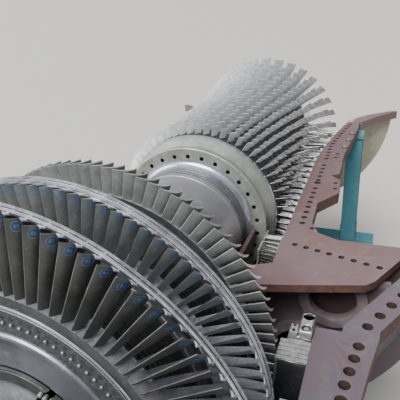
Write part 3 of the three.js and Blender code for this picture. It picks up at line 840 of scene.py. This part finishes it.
def distance_barrel():
    """The smooth barrel between turbine and compressor, with a bright fillet ring at its far end."""
    far, body, foot = BOLT_FLANGE["from"] - 0.5, BARREL_RADIUS, BARREL_FOOT
    angles = [k * math.pi / 16 for k in range(9)]
    cone = [(1110 + 150 * math.sin(a), foot - (foot - body) * (1 - math.cos(a))) for a in angles]
    fillet = [(far - 70 + 70 * math.sin(a), body + 62 * (1 - math.cos(a))) for a in angles]
    profile = [(BARREL_START, 0), (BARREL_START, foot)] + cone
    profile += [(2300, body), (2304, body + 4), (2316, body + 4), (2320, body)]
    for x in (far - 210, far - 160, far - 110):
        profile += [(x, body), (x + 3, body - 5), (x + 12, body - 5), (x + 15, body + 4), (x + 26, body + 4),
                    (x + 30, body)]
    barrel = revolve("barrel", profile + fillet + [(far, 0)], rotor_forging(), sides=192)
    lip = (far - 60) * MM + ZERO
    paint_faces(barrel, polished_land(), lambda c, n: c.x > lip and radius_of(c) > body + 3)
    paint_faces(barrel, disc_forging(), lambda c, n: lip - 0.16 < c.x < lip)
    return barrel


def bolt_flange():
    """The compressor's aft flange with its ring of round holes and the cone behind it."""
    near, far, radius = BOLT_FLANGE["from"], BOLT_FLANGE["to"], BOLT_FLANGE["radius"]
    rim = [(near, 0), (near, 640), (near + 5, 646), (near, 652), (near, radius - 8), (near + 6, radius),
           (far - 4, radius), (far, radius - 6)]
    cone = [(far + 6, 744), (far + 22, 742), (2700, 762), (2748, 794), (2778, 812), (2800, 818), (2834, 819),
            (2839, 812), (2839, 0)]
    disc = revolve("bolt_flange", rim + cone, flange_forging(), sides=240)
    step = 2 * math.pi / BOLT_FLANGE["holes"]
    angles = [step * (k + 0.5) for k in range(BOLT_FLANGE["holes"])]
    places = on_circle(near + 25, BOLT_FLANGE["circle"], angles)
    # The holes' walls take the tools' dark grey as painted shade.
    carve(disc, pins("holes", places, BOLT_FLANGE["hole"], 90, dark_recess(), sides=24, axis="x"))
    paint_faces(disc, polished_land(), lambda c, n: radius_of(c) > 808 and c.x > ZERO + 2.8)
    return soften(disc, 2, angle=50)


def compressor_row(stage):
    """One compressor wheel: its length of drum and its ring of blades."""
    start, width = stage_span(stage)
    share = stage_share(stage)
    middle = start + width * 0.33
    foot_turn, head_turn, depth = 0.42, 0.56 + 0.22 * share, width * 0.54
    radii = (hub_radius(middle) - 6, tip_radius(middle) - 2)
    # The blades' edges are painted in bright metal as a painted highlight, and their hidden front side in a
    # duller grey as painted shade.
    one = blade(f"blade_{stage:02d}", radii, (middle, depth / math.cos(foot_turn), foot_turn),
                (middle, depth / math.cos(head_turn), head_turn), blade_section(-0.05, 0.1, FEW_STATIONS),
                compressor_steel(), levels=3 + round(share * 3), edge=ring_metal(), front=shaded_steel())
    row = around(one, round(AFT_BLADES - (AFT_BLADES - FRONT_BLADES) * share))
    groove = hub_radius(start + width) - 7
    brink, far = start + width * 0.64, start + width - 0.2
    profile = [(start + 0.2, 0), (start + 0.2, hub_radius(start)), (brink, hub_radius(brink)),
               (start + width * 0.66, groove), (start + width * 0.95, groove),
               (start + width * 0.97, hub_radius(far)), (far, hub_radius(far)), (far, 0)]
    # The drum is dark grey: painted shade in the gaps between the blades, partly soot.
    return weld(row, revolve("drum", profile, dark_recess(), sides=120))


def aft_shaft(settings):
    """The aft stub shaft: coupling, journal and the cone up to the last disc's inner ring."""
    coupling = [(-1480, 0), (-1480, 322), (-1472, 330), (-1398, 330), (-1390, 322)]
    journal = [(-1390, 225), (-1378, NECK_RADIUS), (-1110, NECK_RADIUS), (-1110, JOURNAL_RADIUS - 6),
               (-1104, JOURNAL_RADIUS), (-560, JOURNAL_RADIUS)]
    cone = [(-560 + 160 * t, JOURNAL_RADIUS + 30 * t * t) for t in (0.33, 0.66, 1)]
    cone += [(-330, 276), (-200, 286), (-130, 298), (-90, 312), (-66, 328), (-52, 338), (-44, 346)]
    ring = [(-40, 352), (-38, 418), (-34, 422), (-34, 430), (-22, 434), (-20.5, 434), (-20.5, 0)]
    shaft = revolve("aft_shaft", coupling + journal + cone + ring, sooty_forging(), sides=160)
    paint_faces(shaft, rotor_forging(), lambda c, n: c.x < ZERO - 0.4)
    return coupled(lock_pocket(shaft), -1435, settings)


def lock_pocket(shaft):
    """Cuts the slanting slot into the end ring, with three locking bolts in it."""
    across, up = LOCK_POCKET["centre"]
    lean = math.atan2(up, -across)
    # The pocket's walls take the slot's dark grey as painted shade.
    slot = pins("lock_pocket", [at(-38, 0, 0)], LOCK_POCKET["width"] / 2, 44, dark_recess(), axis="x")
    slot.data.transform(Matrix.Translation(-at(-38, 0, 0)))
    slot.data.transform(Matrix.Diagonal((1, 1, LOCK_POCKET["length"] / LOCK_POCKET["width"], 1)))
    slot.data.transform(Matrix.Translation(at(-38, across, up)) @ Matrix.Rotation(lean, 4, "X"))
    carve(shaft, slot)
    along = Vector((0, math.sin(lean), math.cos(lean)))
    spots = [at(-42, across, up) + along * (step * MM) for step in (-34, 0, 30)]
    bolts = pins("lock_bolts", spots, 13, 34, ring_metal(), sides=6, axis="x")
    return weld(shaft, soften(bolts, 3))


def forward_shaft(settings):
    """The forward stub shaft, from the first compressor wheel to its coupling flange."""
    cone = [(5960, 0), (5960, 556), (5964, 560), (6000, 560), (6006, 552), (6050, 470), (6100, 390),
            (6160, 325), (6260, 265), (6400, JOURNAL_RADIUS + 1)]
    journal = [(6400, JOURNAL_RADIUS), (6900, JOURNAL_RADIUS), (6906, JOURNAL_RADIUS - 6),
               (6906, NECK_RADIUS), (7148, NECK_RADIUS)]
    coupling = [(7160, 225), (7160, 312), (7168, 320), (7242, 320), (7250, 312), (7250, 0)]
    shaft = revolve("forward_shaft", cone + journal + coupling, rotor_forging(), sides=160)
    return coupled(shaft, 7205, settings)


def coupled(shaft, station, settings):
    """Drills a shaft's coupling flange for its bolts."""
    step = 2 * math.pi / settings.coupling_bolts
    places = on_circle(station, COUPLING["circle"], [step * k for k in range(settings.coupling_bolts)])
    # The holes' walls take the tools' dark grey as painted shade.
    return carve(shaft, pins("coupling_holes", places, COUPLING["hole"], COUPLING["depth"], dark_recess(),
                             sides=20, axis="x"))


# Casing pieces

def wrapper_radius(x):
    """The combustion wrapper's inner radius at a station."""
    return WRAPPER["radius"] + WRAPPER["slope"] * max(0, x - SHELL_FORWARD - COLLAR)


def both_sides(name, outline, material, depth=JOINT_DEPTH):
    """A joint flange on the right and its mirror image on the left."""
    right = slab(name, outline, 0, depth, material)
    left = slab(name, [(x, -y) for x, y in outline], 0, depth, material)
    return [right, left]


def bolt_holes(places, radius, sides=32):
    """Tools for the same round holes through the right and the left joint flange."""
    both = [at(x, side * y) for x, y in places for side in (1, -1)]
    # The tools' dark brown passes to the hole walls as painted shade.
    return pins("holes", both, radius, JOINT_DEPTH * 2.4, bore_dark(), sides)


def cast_casing(name, loop, outline, paint, holes, depth=JOINT_DEPTH):
    """A length of casing: a half shell fused with its joint flanges, drilled, its edges round and rusty."""
    shell = fuse(lower_half(name, loop, paint), *both_sides("joint", outline, paint, depth))
    lowest = AXIS.z - JOINT_DEPTH * MM * 0.98
    paint_faces(shell, rusty_edge(), lambda c, n: abs(n.z) < 0.5 and c.z > lowest)
    for tool in holes:
        carve(shell, tool)
    return soften(shell, 5, edge=rusty_edge())


def turbine_shell():
    """The lower half of the turbine shell with its bolted joint flange."""
    near, far, bore = SHELL_AFT, SHELL_FORWARD, TURBINE_BORE
    loop = [(near, bore), (far, bore), (far, 1640), (far - 60, 1640), (far - 60, 1520), (far - 84, bore + 70),
            (24, bore + 70), (0, 1520), (0, 1600), (near, 1600)]
    outline = [(near, -bore), (far, -bore), (far, -1850), (1008, -1806), (742, -1770), (near, -1770)]
    pitch = 119
    bolts = [(90 + pitch * k, -(1660 + 0.16 * max(0, pitch * k - 670))) for k in range(10)]
    return cast_casing("turbine_shell", loop, outline, grey_primer(), [bolt_holes(bolts, BIG_BOLT_HOLE + 1)])


def combustion_wrapper():
    """The conical lower half of the combustion wrapper, whose joint flange runs out as an arm."""
    near, far, wall, arm = SHELL_FORWARD + GAP, WRAPPER_FORWARD, WRAPPER["wall"], WRAPPER["arm"]
    bend, narrow, wide = near + COLLAR, wrapper_radius(near), wrapper_radius(far)
    rim = wide + WRAPPER["rim"]
    loop = [(near, narrow), (bend, narrow), (far, wide), (far, rim), (far - 50, rim), (far - 50, wide + wall),
            (bend, narrow + wall), (near, narrow + wall)]
    outline = [(near, -narrow), (bend, -narrow), (far, -wide), (far, -wide - arm), (bend, -narrow - arm),
               (near, -narrow - arm)]
    stations = [SHELL_FORWARD + 100 + 143 * k for k in range(7)]
    holes = bolt_holes([(x, -(wrapper_radius(x) + 140)) for x in stations], BIG_BOLT_HOLE + 1)
    return cast_casing("combustion_wrapper", loop, outline, grey_primer(), [holes])


def discharge_casing():
    """The compressor discharge casing: wing flanges on the joint and a ported wall below them."""
    near, end, bore = WRAPPER_FORWARD + GAP, DISCHARGE_FORWARD, bore_radius(COMPRESSOR_START)
    rim = wrapper_radius(WRAPPER_FORWARD) + WRAPPER["rim"]
    loop = [(near, 1010), (near, rim), (near + 60, rim), (near + 60, 1070), (end - 50, 1070),
            (end - 50, 1180), (end, 1180), (end, bore), (BULKHEAD, bore), (BULKHEAD, 1010)]
    root = -INNER_BARREL["outside"] - GAP
    wing = [(end, -bore), (1990, -962), (1918, -812), (1918, root), (INNER_BARREL["from"], root),
            (1652, -910), (1722, -1204), (1862, -1722), (1932, -1792), (2156, -1904), (near, -2050),
            (near, -rim), (near + 60, -rim), (near + 60, -1456), (end, -1260)]
    holes = bolt_holes([(2338 - 28 * k, -(1092 + 104 * k)) for k in range(8)], 27)
    casing = cast_casing("discharge_casing", loop, wing, primer(), [holes], WING_DEPTH)
    return weld(casing, soften(ported_bulkhead(), 5))


def ported_bulkhead():
    """The wall below the wings, with its combustor ports that each have a raised ring."""
    wall = lower_half("bulkhead", oblong(BULKHEAD, BULKHEAD + 40, 990, 1925), port_wall())
    trim_top(wall, JOINT_DEPTH - 1)
    angles = [math.pi * (1 + (k + 0.5) / PORTS["count"]) for k in range(PORTS["count"])]
    middles = on_circle(BULKHEAD - 20, PORTS["circle"], angles)
    rings = pins("port_rings", middles, PORTS["ring"], 60, port_metal(), sides=64, axis="x")
    trim_top(rings, JOINT_DEPTH - 1)
    fuse(wall, rings)
    return carve(wall, pins("port_tools", middles, PORTS["bore"], 240, port_metal(), sides=64, axis="x"))


def inner_barrel():
    """The lower half of the inner barrel round the distance piece."""
    loop = oblong(INNER_BARREL["from"], INNER_BARREL["to"], INNER_BARREL["bore"], INNER_BARREL["outside"])
    return soften(lower_half("inner_barrel", loop, dark_casting()), 4, edge=rusty_edge())


COMPRESSOR_OUTLINES = {
    "aft": [(CASING_SPLIT - GAP, -1300), (4100, -1300), (4032, -1210), (3906, -1335), (3542, -1350),
            (3240, -1165), (2790, -1176), (DISCHARGE_FORWARD + GAP, -1260)],
    "forward": [(INLET_AFT, -1380), (5900, -1380), (4800, -1290), (CASING_SPLIT, -1290)],
}


def compressor_casing(key):
    """A length of the compressor casing's lower half, with small holes along its bore."""
    start, end, rim = {
        "aft": (DISCHARGE_FORWARD + GAP, CASING_SPLIT - GAP, 1180),
        "forward": (CASING_SPLIT, INLET_AFT, 1270),
    }[key]
    stations = [start + (end - start) * k / 12 for k in range(13)]
    bore = [(x, bore_radius(x)) for x in stations]
    loop = bore + [(end, rim), (end - 50, rim), (end - 50, rim - 70), (start + 50, 1110), (start + 50, 1180),
                   (start, 1180)]
    outline = [(x, -r - 1) for x, r in bore] + COMPRESSOR_OUTLINES[key]
    casing = cast_casing(f"compressor_casing_{key}", loop, outline, primer(), compressor_holes(start, end))
    return weld(casing, *edge_bolts()) if key == "forward" else casing


def compressor_holes(start, end):
    """Tools for the holes of a length's joint face: a row along the bore, some outside it, a large one."""
    row = [(x, -max(1085, bore_radius(x) + 78)) for x in range(2763, 6250, 122)
           if start + 60 < x < end - 60 and all(abs(x - hole[0]) > 60 for hole in LARGE_HOLES)]
    outer = [hole for hole in OUTER_HOLES if start < hole[0] < end]
    large = [hole for hole in LARGE_HOLES if start < hole[0] < end]
    tools = [bolt_holes(row, 29, sides=20), bolt_holes(outer, 24, sides=20)]
    if large:
        tools.append(bolt_holes(large, 38, sides=24))
    return tools


def edge_bolts():
    """Hexagon bolts on washers, which stand on the forward joint face near its outer edge."""
    places = [at(x, side * y) for x, y in EDGE_BOLTS for side in (1, -1)]
    washers = pins("washers", [place + Vector((0, 0, 3 * MM)) for place in places], 38, 8, dark_casting())
    heads = pins("bolt_heads", [place + Vector((0, 0, 18 * MM)) for place in places], 26, 26, ring_metal(), 6)
    return washers, soften(heads, 4)


def stator_row(stage):
    """The fixed vanes behind one compressor wheel, each with a foot in the casing's bore."""
    start, width = stage_span(stage)
    count = round(AFT_VANES - (AFT_VANES - FRONT_VANES) * stage_share(stage))
    middle, chord = start + width * 0.81, width * 0.3
    seat = bore_radius(middle)
    vane = blade("vane", (hub_radius(middle) + 8, seat - 3), (middle, chord, -0.35),
                 (middle, chord * 1.05, -0.5), blade_section(0.07, 0.12), compressor_steel(), levels=3)
    half, reach = math.pi * seat / count * 0.44, width * 0.16
    foot = slab("vane_foot", oblong(middle - reach, middle + reach, -half, half), seat - 1, 9, ring_metal())
    return lower_row(weld(vane, foot), count)


def exit_guide_vanes():
    """Two rows of straight vanes between rings, behind the compressor."""
    seat = bore_radius(COMPRESSOR_START) - 0.5
    inner, foot = 790, 804
    section = blade_section(0.03, 0.07, FEW_STATIONS)
    # The first row's vanes are dark grey as painted shade, and all vanes have lighter edges that are partly a
    # painted highlight.
    rows = [(2160, 2330, 76, 0.55, dark_recess()), (2370, 2540, 60, 0.3, compressor_steel())]
    rings = []
    for near, far, count, turn, metal in rows:
        end = ((near + far) / 2, 145, turn)
        vane = blade("guide_vane", (foot - 4, seat - 6), end, end, section, metal, levels=1, edge=worn_edge())
        rings.append(lower_row(vane, count))
        rings.append(lower_half("ring", oblong(near, far, inner, foot), ring_metal()))
        rings.append(lower_half("ring", oblong(near, far, seat - 10, seat), ring_metal()))
    return weld(*rings)


def shroud_ring(key):
    """The fixed shroud segments round a turbine row, with ribbed ends at the joint."""
    near, far, inner = {"first": (905, 1105, 1226), "middle": (400, 600, 1325)}[key]
    seat = TURBINE_BORE - 0.5
    backing = oblong(near + 3, far - 3, inner + 14, seat - 1)
    # The backing between the bright ribs is dark grey as painted shade.
    ring = trim_top(lower_half(f"{key}_shroud", backing, dark_recess()), 12)
    ribs = 5
    step = (far - near) / ribs
    for k in range(ribs):
        low, high = near + k * step + 4, near + (k + 1) * step - 4
        fuse(ring, lower_half("rib", oblong(low, high, inner, seat), ring_metal()))
    return ring


def seal_ring():
    """The seal ring next to the first row's shroud, with a bolted block at each end."""
    near, far, inner, seat = 1112, 1262, 1262, TURBINE_BORE - 0.5
    backing = oblong(near, far, inner + 10, seat)
    # The backing between the bright ribs is dark grey as painted shade.
    ring = trim_top(lower_half("seal_ring", backing, dark_recess()), 40)
    for low in (near, near + 52, near + 104):
        rib = lower_half("rib", oblong(low, low + 40, inner, seat), ring_metal())
        fuse(ring, trim_top(rib, 22))
    return weld(ring, *seal_ring_end(1, seat), *seal_ring_end(-1, seat))


def seal_ring_end(side, seat):
    """The bolted blocks at one end of the seal ring: a big one with two wells and a small key."""
    low, high = sorted((side * 1334, side * (seat - 4)))
    end = block("end_block", (1150, low, -21), (1352, high, 44), ring_metal())
    wells = [at(x, side * 1380, 44) for x in (1195, 1316)]
    # The wells' walls and the small screws are dark grey as painted shade.
    carve(end, pins("bolt_wells", wells, 30, 36, dark_recess()))
    bolts = pins("bolts", [well - Vector((0, 0, 30 * MM)) for well in wells], 19, 40, ring_metal(), sides=6)
    low, high = sorted((side * 1270, side * 1322))
    key = block("key_block", (1160, low, -21), (1252, high, 16), ring_metal())
    screws = pins("screws", [at(x, side * 1296, 16) for x in (1180, 1232)], 10, 16, dark_recess(), sides=12)
    return soften(end, 10, segments=3), bolts, soften(key, 5), screws


def exhaust_frame():
    """The exhaust frame's lower half: outer duct, bearing tunnel and struts."""
    near, far = EXHAUST_END, SHELL_AFT - GAP
    loop = [(near, 1560), (far, 1440), (far, 1590), (-110, 1590), (-110, 1500), (near + 50, 1620),
            (near + 50, 1710), (near, 1710)]
    outline = [(far, -1441), (near, -1561), (near, -1880), (far, -1770)]
    holes = bolt_holes([(-160 - 200 * k, -(1660 + 20 * k)) for k in range(6)], BIG_BOLT_HOLE)
    duct = cast_casing("exhaust_frame", loop, outline, grey_primer(), [holes])
    tunnel = soften(lower_half("tunnel", oblong(near, -160, 620, 660), dark_casting()), 4)
    return weld(duct, tunnel, struts(-800, -450, 650, 1505, 70, dark_casting()))


def struts(near, far, inner, outer, thickness, material):
    """Five streamlined struts in the lower half, from hub to duct."""
    chord = far - near
    end = ((near + far) / 2, chord, 0)
    strut = blade("strut", (inner, outer), end, end, blade_section(0, thickness / chord), material, levels=1)
    return lower_row(strut, 5)


def inlet_casing():
    """The inlet casing's lower half: bell mouth, core and struts."""
    near, throat, lip = INLET_AFT + GAP, bore_radius(INLET_AFT), 1800
    shares = [k / 8 for k in range(9)]
    bell = [(near + (INLET_MOUTH - near) * t, throat + (lip - throat) * t ** 1.7) for t in shares]
    back = [(x, r + 50) for x, r in reversed(bell[1:])]
    shell = lower_half("inlet_casing", bell + back + [(6390, 1290), (near, 1290)], inlet_paint())
    outline = [(x, -r - 4) for x, r in bell] + [(INLET_MOUTH, -1930), (6700, -1640), (near, -1420)]
    fuse(shell, *both_sides("joint", outline, primer()))
    core = lower_half("core", [(6180, 400), (7000, 400), (7000, 480), (6900, 510), (6500, 560), (6180, 560)],
                      inlet_paint())
    return weld(soften(shell, 5, edge=rusty_edge()), soften(core, 6),
                struts(6480, 6680, 520, 1400, 60, inlet_paint()))


def bearing(key):
    """The lower half of a bearing: a bright shell with a shallow recess in each end."""
    near, far, seat = {"aft": (-1040, -620, 619.5), "forward": (6420, 6880, 399.5)}[key]
    bore, lip = JOURNAL_RADIUS + 0.9, 268
    loop = [(near, bore), (far, bore), (far, lip), (far - 20, lip + 8), (far - 20, seat - 30),
            (far, seat - 20), (far, seat), (near, seat), (near, seat - 20), (near + 20, seat - 30),
            (near + 20, lip + 8), (near, lip)]
    return soften(lower_half(f"{key}_bearing", loop, ring_metal()), 3)


# Base

def block(name, low, high, material):
    """A plain plate or bar between two corners."""
    (x0, y0, z0), (x1, y1, z1) = low, high
    return slab(name, oblong(x0, x1, y0, y1), z1, z1 - z0, material)


def girder(name, low, high, material, inset):
    """A steel girder between two corners: top and bottom plates with a web box set in between them."""
    (x0, y0, z0), (x1, y1, z1) = low, high
    inset_x, inset_y = inset
    web_low = (x0 + inset_x, y0 + inset_y, z0 + GIRDER_PLATE)
    web_high = (x1 - inset_x, y1 - inset_y, z1 - GIRDER_PLATE)
    return [block(name, low, (x1, y1, z0 + GIRDER_PLATE), material),
            block(name, (x0, y0, z1 - GIRDER_PLATE), high, material),
            block(name, web_low, web_high, material)]


def stiffeners(stations, y0, y1, z0, z1, material):
    """Upright plates that stiffen a girder at its stations."""
    half = STIFFENER / 2
    return [block("stiffener", (x - half, y0, z0), (x + half, y1, z1), material) for x in stations]


def base_rail(side):
    """A long girder of the base with stiffeners and anchor bolts."""
    low, high = (1400, 1700) if side == "left" else (-1700, -1400)
    paint = base_paint()
    parts = girder("rail", (-300, low, FLOOR), (6600, high, RAIL_TOP), paint, (10, 70))
    parts += stiffeners(range(0, 6500, 600), low + 8, high - 8, FLOOR + 28, RAIL_TOP - 28, paint)
    rail = soften(weld(*parts), 4, edge=rusty_edge())
    heads = [at(x, y, FLOOR + 39) for x in range(-200, 6600, 700) for y in (low + 32, high - 32)]
    return weld(rail, pins("anchor_bolts", heads, 15, 22, ring_metal(), sides=6))


def support_frame(key):
    """A cross girder on the rails with a box leg under each joint flange."""
    near, far, inner, outer = {"aft": (350, 750, 1560, 1760), "forward": (5950, 6280, 1215, 1475)}[key]
    paint = base_paint()
    head, leg_top, foot = -JOINT_DEPTH - GAP, -150, BEAM_TOP + 30
    parts = girder("beam", (near, -1760, RAIL_TOP + GAP), (far, 1760, BEAM_TOP), paint, (70, 20))
    for side in (-1, 1):
        low, high = sorted((side * inner, side * outer))
        middle = (low + high) / 2
        web = (near + 40, middle - 12, BEAM_TOP), (far - 40, middle + 12, leg_top)
        parts.append(block("leg_web", *web, paint))
        for x in (near + 30, far - 54):
            parts.append(block("leg_flange", (x, low + 12, BEAM_TOP), (x + 24, high - 12, leg_top), paint))
        for z in (-1500, -1050, -600):
            parts.append(block("leg_rib", (near + 40, low + 22, z), (far - 40, high - 22, z + 16), paint))
        parts.append(block("head", (near, low, head - 40), (far, high, head), paint))
        parts.append(block("foot", (near, low, BEAM_TOP), (far, high, foot), paint))
        parts += stiffeners((near + 60, (near + far) / 2, far - 60), low, high, foot, foot + 220, paint)
    return soften(weld(*parts), 4, edge=rusty_edge())


# Settings, operators and panel

class RotorSettings(bpy.types.PropertyGroup):
    """Sizes of the rotor that a user may change."""

    turbine_blades: IntProperty(name="Turbine blades", description="Blades in each turbine row",
                                default=92, min=40, max=120)
    coupling_bolts: IntProperty(name="Coupling bolts", description="Bolts in each coupling flange",
                                default=16, min=8, max=32)
    mark_size: FloatProperty(name="Mark size", description="Diameter of the circle round a blade's number",
                             default=0.058, unit="LENGTH")


class StageSettings(bpy.types.PropertyGroup):
    """Floor, light and camera."""

    floor_colour: FloatVectorProperty(name="Floor", description="Colour of the pale floor",
                                      subtype="COLOR", size=4, default=colour("#aeaca8"), min=0, max=1)
    key_strength: FloatProperty(name="Key light", description="Strength of the large soft light", default=5.8)
    lens: FloatProperty(name="Lens", description="Focal length in millimetres", default=42.8)


class TURBINE_OT_turbine_rows(bpy.types.Operator):
    """Model the three turbine wheels with their blades, shrouds and numbered marks"""

    bl_idname = "turbine.turbine_rows"
    bl_label = "Turbine rows"

    def execute(self, context):
        settings = context.scene.rotor_settings
        for key in ROWS:
            wheel = turbine_row(key, settings)
            hand_over(wheel, f"{key}_turbine_row", "rotor", "dark_blades", f"{key}_turbine_wheel")
            if ROWS[key]["mark"]:
                marks = blade_marks(key, settings, wheel)
                hand_over(marks, f"{key}_row_numbers", "rotor", "dark_blades")
        return {"FINISHED"}


class TURBINE_OT_shafts(bpy.types.Operator):
    """Model the stub shafts, spacers, distance piece and bolted flange"""

    bl_idname = "turbine.shafts"
    bl_label = "Shafts and drum ends"

    def execute(self, context):
        settings = context.scene.rotor_settings
        pieces = {
            "aft_shaft": (aft_shaft(settings), "aft_stub_shaft"),
            "forward_shaft": (forward_shaft(settings), "forward_stub_shaft"),
            "aft_spacer": (spacer("last", "middle"), "aft_turbine_spacer"),
            "forward_spacer": (spacer("middle", "first"), "forward_turbine_spacer"),
            "barrel": (distance_barrel(), "distance_piece"),
            "bolt_flange": (bolt_flange(), "compressor_aft_flange"),
        }
        for name, (piece, node) in pieces.items():
            hand_over(piece, name, "rotor", "rotor_steel", node)
        return {"FINISHED"}


class TURBINE_OT_compressor(bpy.types.Operator):
    """Model the seventeen compressor wheels and the fixed vanes between them"""

    bl_idname = "turbine.compressor"
    bl_label = "Compressor rows"

    def execute(self, context):
        for stage in range(COMPRESSOR_STAGES, 0, -1):
            hand_over(compressor_row(stage), f"compressor_row_{stage:02d}", "rotor", "bright_blades",
                      f"compressor_wheel_{stage:02d}")
            if stage > 1:
                hand_over(stator_row(stage), f"stator_row_{stage:02d}", "casing", "bright_blades")
        return {"FINISHED"}


class TURBINE_OT_casing(bpy.types.Operator):
    """Model the lower casing half from the exhaust frame to the inlet"""

    bl_idname = "turbine.casing"
    bl_label = "Lower casing"

    def execute(self, context):
        painted = {
            "turbine_shell": (turbine_shell(), "turbine_shell_lower"),
            "combustion_wrapper": (combustion_wrapper(), "combustion_wrapper_lower"),
            "discharge_casing": (discharge_casing(), "discharge_casing_lower"),
            "inner_barrel": (inner_barrel(), "inner_barrel_lower"),
            "aft_compressor_casing": (compressor_casing("aft"), "compressor_casing_aft_lower"),
            "forward_compressor_casing": (compressor_casing("forward"), "compressor_casing_forward_lower"),
            "exhaust_frame": (exhaust_frame(), "exhaust_frame_lower"),
            "inlet_casing": (inlet_casing(), "inlet_casing_lower"),
        }
        bright = {
            "first_row_shroud": (shroud_ring("first"), "first_row_shroud_lower"),
            "middle_row_shroud": (shroud_ring("middle"), "middle_row_shroud_lower"),
            "aft_bearing": (bearing("aft"), "aft_bearing_lower"),
            "forward_bearing": (bearing("forward"), "forward_bearing_lower"),
        }
        for slot, pieces in (("casing_primer", painted), ("white_metal", bright)):
            for name, (piece, node) in pieces.items():
                hand_over(piece, name, "casing", slot, node)
        hand_over(exit_guide_vanes(), "exit_guide_vanes", "casing", "rotor_steel", "exit_guide_vanes_lower")
        hand_over(seal_ring(), "first_row_seal_ring", "casing", "white_metal")
        return {"FINISHED"}


class TURBINE_OT_base(bpy.types.Operator):
    """Model the steel base: rails and support frames"""

    bl_idname = "turbine.base"
    bl_label = "Steel base"

    def execute(self, context):
        for side in ("left", "right"):
            hand_over(base_rail(side), f"{side}_rail", "casing", "base_paint", f"base_rail_{side}")
        for key in ("aft", "forward"):
            hand_over(support_frame(key), f"{key}_frame", "casing", "base_paint", f"{key}_support_frame")
        return {"FINISHED"}


class TURBINE_OT_stage(bpy.types.Operator):
    """Lay the floor, hang the soft lights and set the camera at the photograph's angle"""

    bl_idname = "turbine.stage"
    bl_label = "Floor, light and camera"

    def execute(self, context):
        settings = context.scene.stage_settings
        bpy.ops.object.select_all(action="DESELECT")
        bpy.ops.mesh.primitive_plane_add(size=600)
        floor = context.object
        floor.name = "floor"
        floor.data.transform(Matrix.Translation((0, 0, -0.002)))
        pale = bpy.data.materials.new("pale_floor")
        pale.use_nodes = True
        shader = pale.node_tree.nodes["Principled BSDF"]
        shader.inputs["Base Color"].default_value = settings.floor_colour
        shader.inputs["Roughness"].default_value = 0.8
        floor.data.materials.append(pale)
        context.scene.world = self.soft_sky()
        self.hang("key_light", (-0.62, 0.15, 0.77), 35, settings.key_strength)
        self.hang("left_light", (-0.1, 0.86, 0.5), 40, settings.key_strength * 0.4)
        self.aim_camera(context, settings)
        return {"FINISHED"}

    def soft_sky(self):
        """A white ceiling of light, brightest overhead and a little to the left, behind a plain backdrop."""
        world = bpy.data.worlds.new("soft_studio")
        world.use_nodes = True
        tree = world.node_tree
        way = add_node(tree, "ShaderNodeTexCoord")
        height = add_node(tree, "ShaderNodeVectorMath", {
            0: way.outputs["Generated"], 1: (-0.3, 0.45, 0.84)}, operation="DOT_PRODUCT")
        glow = add_node(tree, "ShaderNodeMapRange", {
            "Value": height.outputs["Value"], "From Min": 0.0, "From Max": 0.7,
            "To Min": 0.12, "To Max": 1.0})
        ray = add_node(tree, "ShaderNodeLightPath")
        seen = add_node(tree, "ShaderNodeMix", {
            0: ray.outputs["Is Camera Ray"], 2: glow.outputs["Result"], 3: BACKDROP}, data_type="FLOAT")
        sky = tree.nodes["Background"]
        sky.inputs["Color"].default_value = colour("#eceff4")
        tree.links.new(seen.outputs[0], sky.inputs["Strength"])
        return world

    def hang(self, name, side, spread, strength):
        """A far lamp of a wide spread, in degrees, that shines from a side on the whole machine."""
        lamp = bpy.data.lights.new(name, "SUN")
        lamp.angle = math.radians(spread)
        lamp.energy = strength
        holder = bpy.data.objects.new(name, lamp)
        holder.rotation_euler = Vector(side).to_track_quat("Z", "Y").to_euler()
        bpy.context.scene.collection.objects.link(holder)

    def aim_camera(self, context, settings):
        """The photograph's place: behind the last wheel, a little to its right and above it."""
        yaw, pitch, roll = (math.radians(CAMERA[key]) for key in ("yaw", "pitch", "roll"))
        forward = Vector((math.cos(pitch) * math.cos(yaw), math.cos(pitch) * math.sin(yaw), -math.sin(pitch)))
        camera = bpy.data.objects.new("camera", bpy.data.cameras.new("camera"))
        camera.data.lens = settings.lens
        camera.data.sensor_width = 36
        camera.location = CAMERA["place"]
        look = forward.to_track_quat("-Z", "Y").to_matrix() @ Matrix.Rotation(roll, 3, "Z")
        camera.rotation_euler = look.to_euler()
        context.scene.collection.objects.link(camera)
        context.scene.camera = camera


class TURBINE_PT_panel(bpy.types.Panel):
    """Lists the steps in the sidebar"""

    bl_label = "Gas turbine rotor"
    bl_space_type = "VIEW_3D"
    bl_region_type = "UI"
    bl_category = "Turbine"

    def draw(self, context):
        layout = self.layout
        for settings in (context.scene.rotor_settings, context.scene.stage_settings):
            for name in settings.__annotations__:
                layout.prop(settings, name)
        for step in STEPS:
            layout.operator(step.bl_idname)


STEPS = (TURBINE_OT_stage, TURBINE_OT_turbine_rows, TURBINE_OT_shafts, TURBINE_OT_compressor,
         TURBINE_OT_casing, TURBINE_OT_base)
CLASSES = (RotorSettings, StageSettings, *STEPS, TURBINE_PT_panel)


def register():
    for item in CLASSES:
        bpy.utils.register_class(item)
    bpy.types.Scene.rotor_settings = PointerProperty(type=RotorSettings)
    bpy.types.Scene.stage_settings = PointerProperty(type=StageSettings)


def unregister():
    del bpy.types.Scene.stage_settings
    del bpy.types.Scene.rotor_settings
    for item in reversed(CLASSES):
        bpy.utils.unregister_class(item)


def main():
    register()
    for step in STEPS:
        group, name = step.bl_idname.split(".")
        getattr(getattr(bpy.ops, group), name)()


if __name__ == "__main__":
    main()
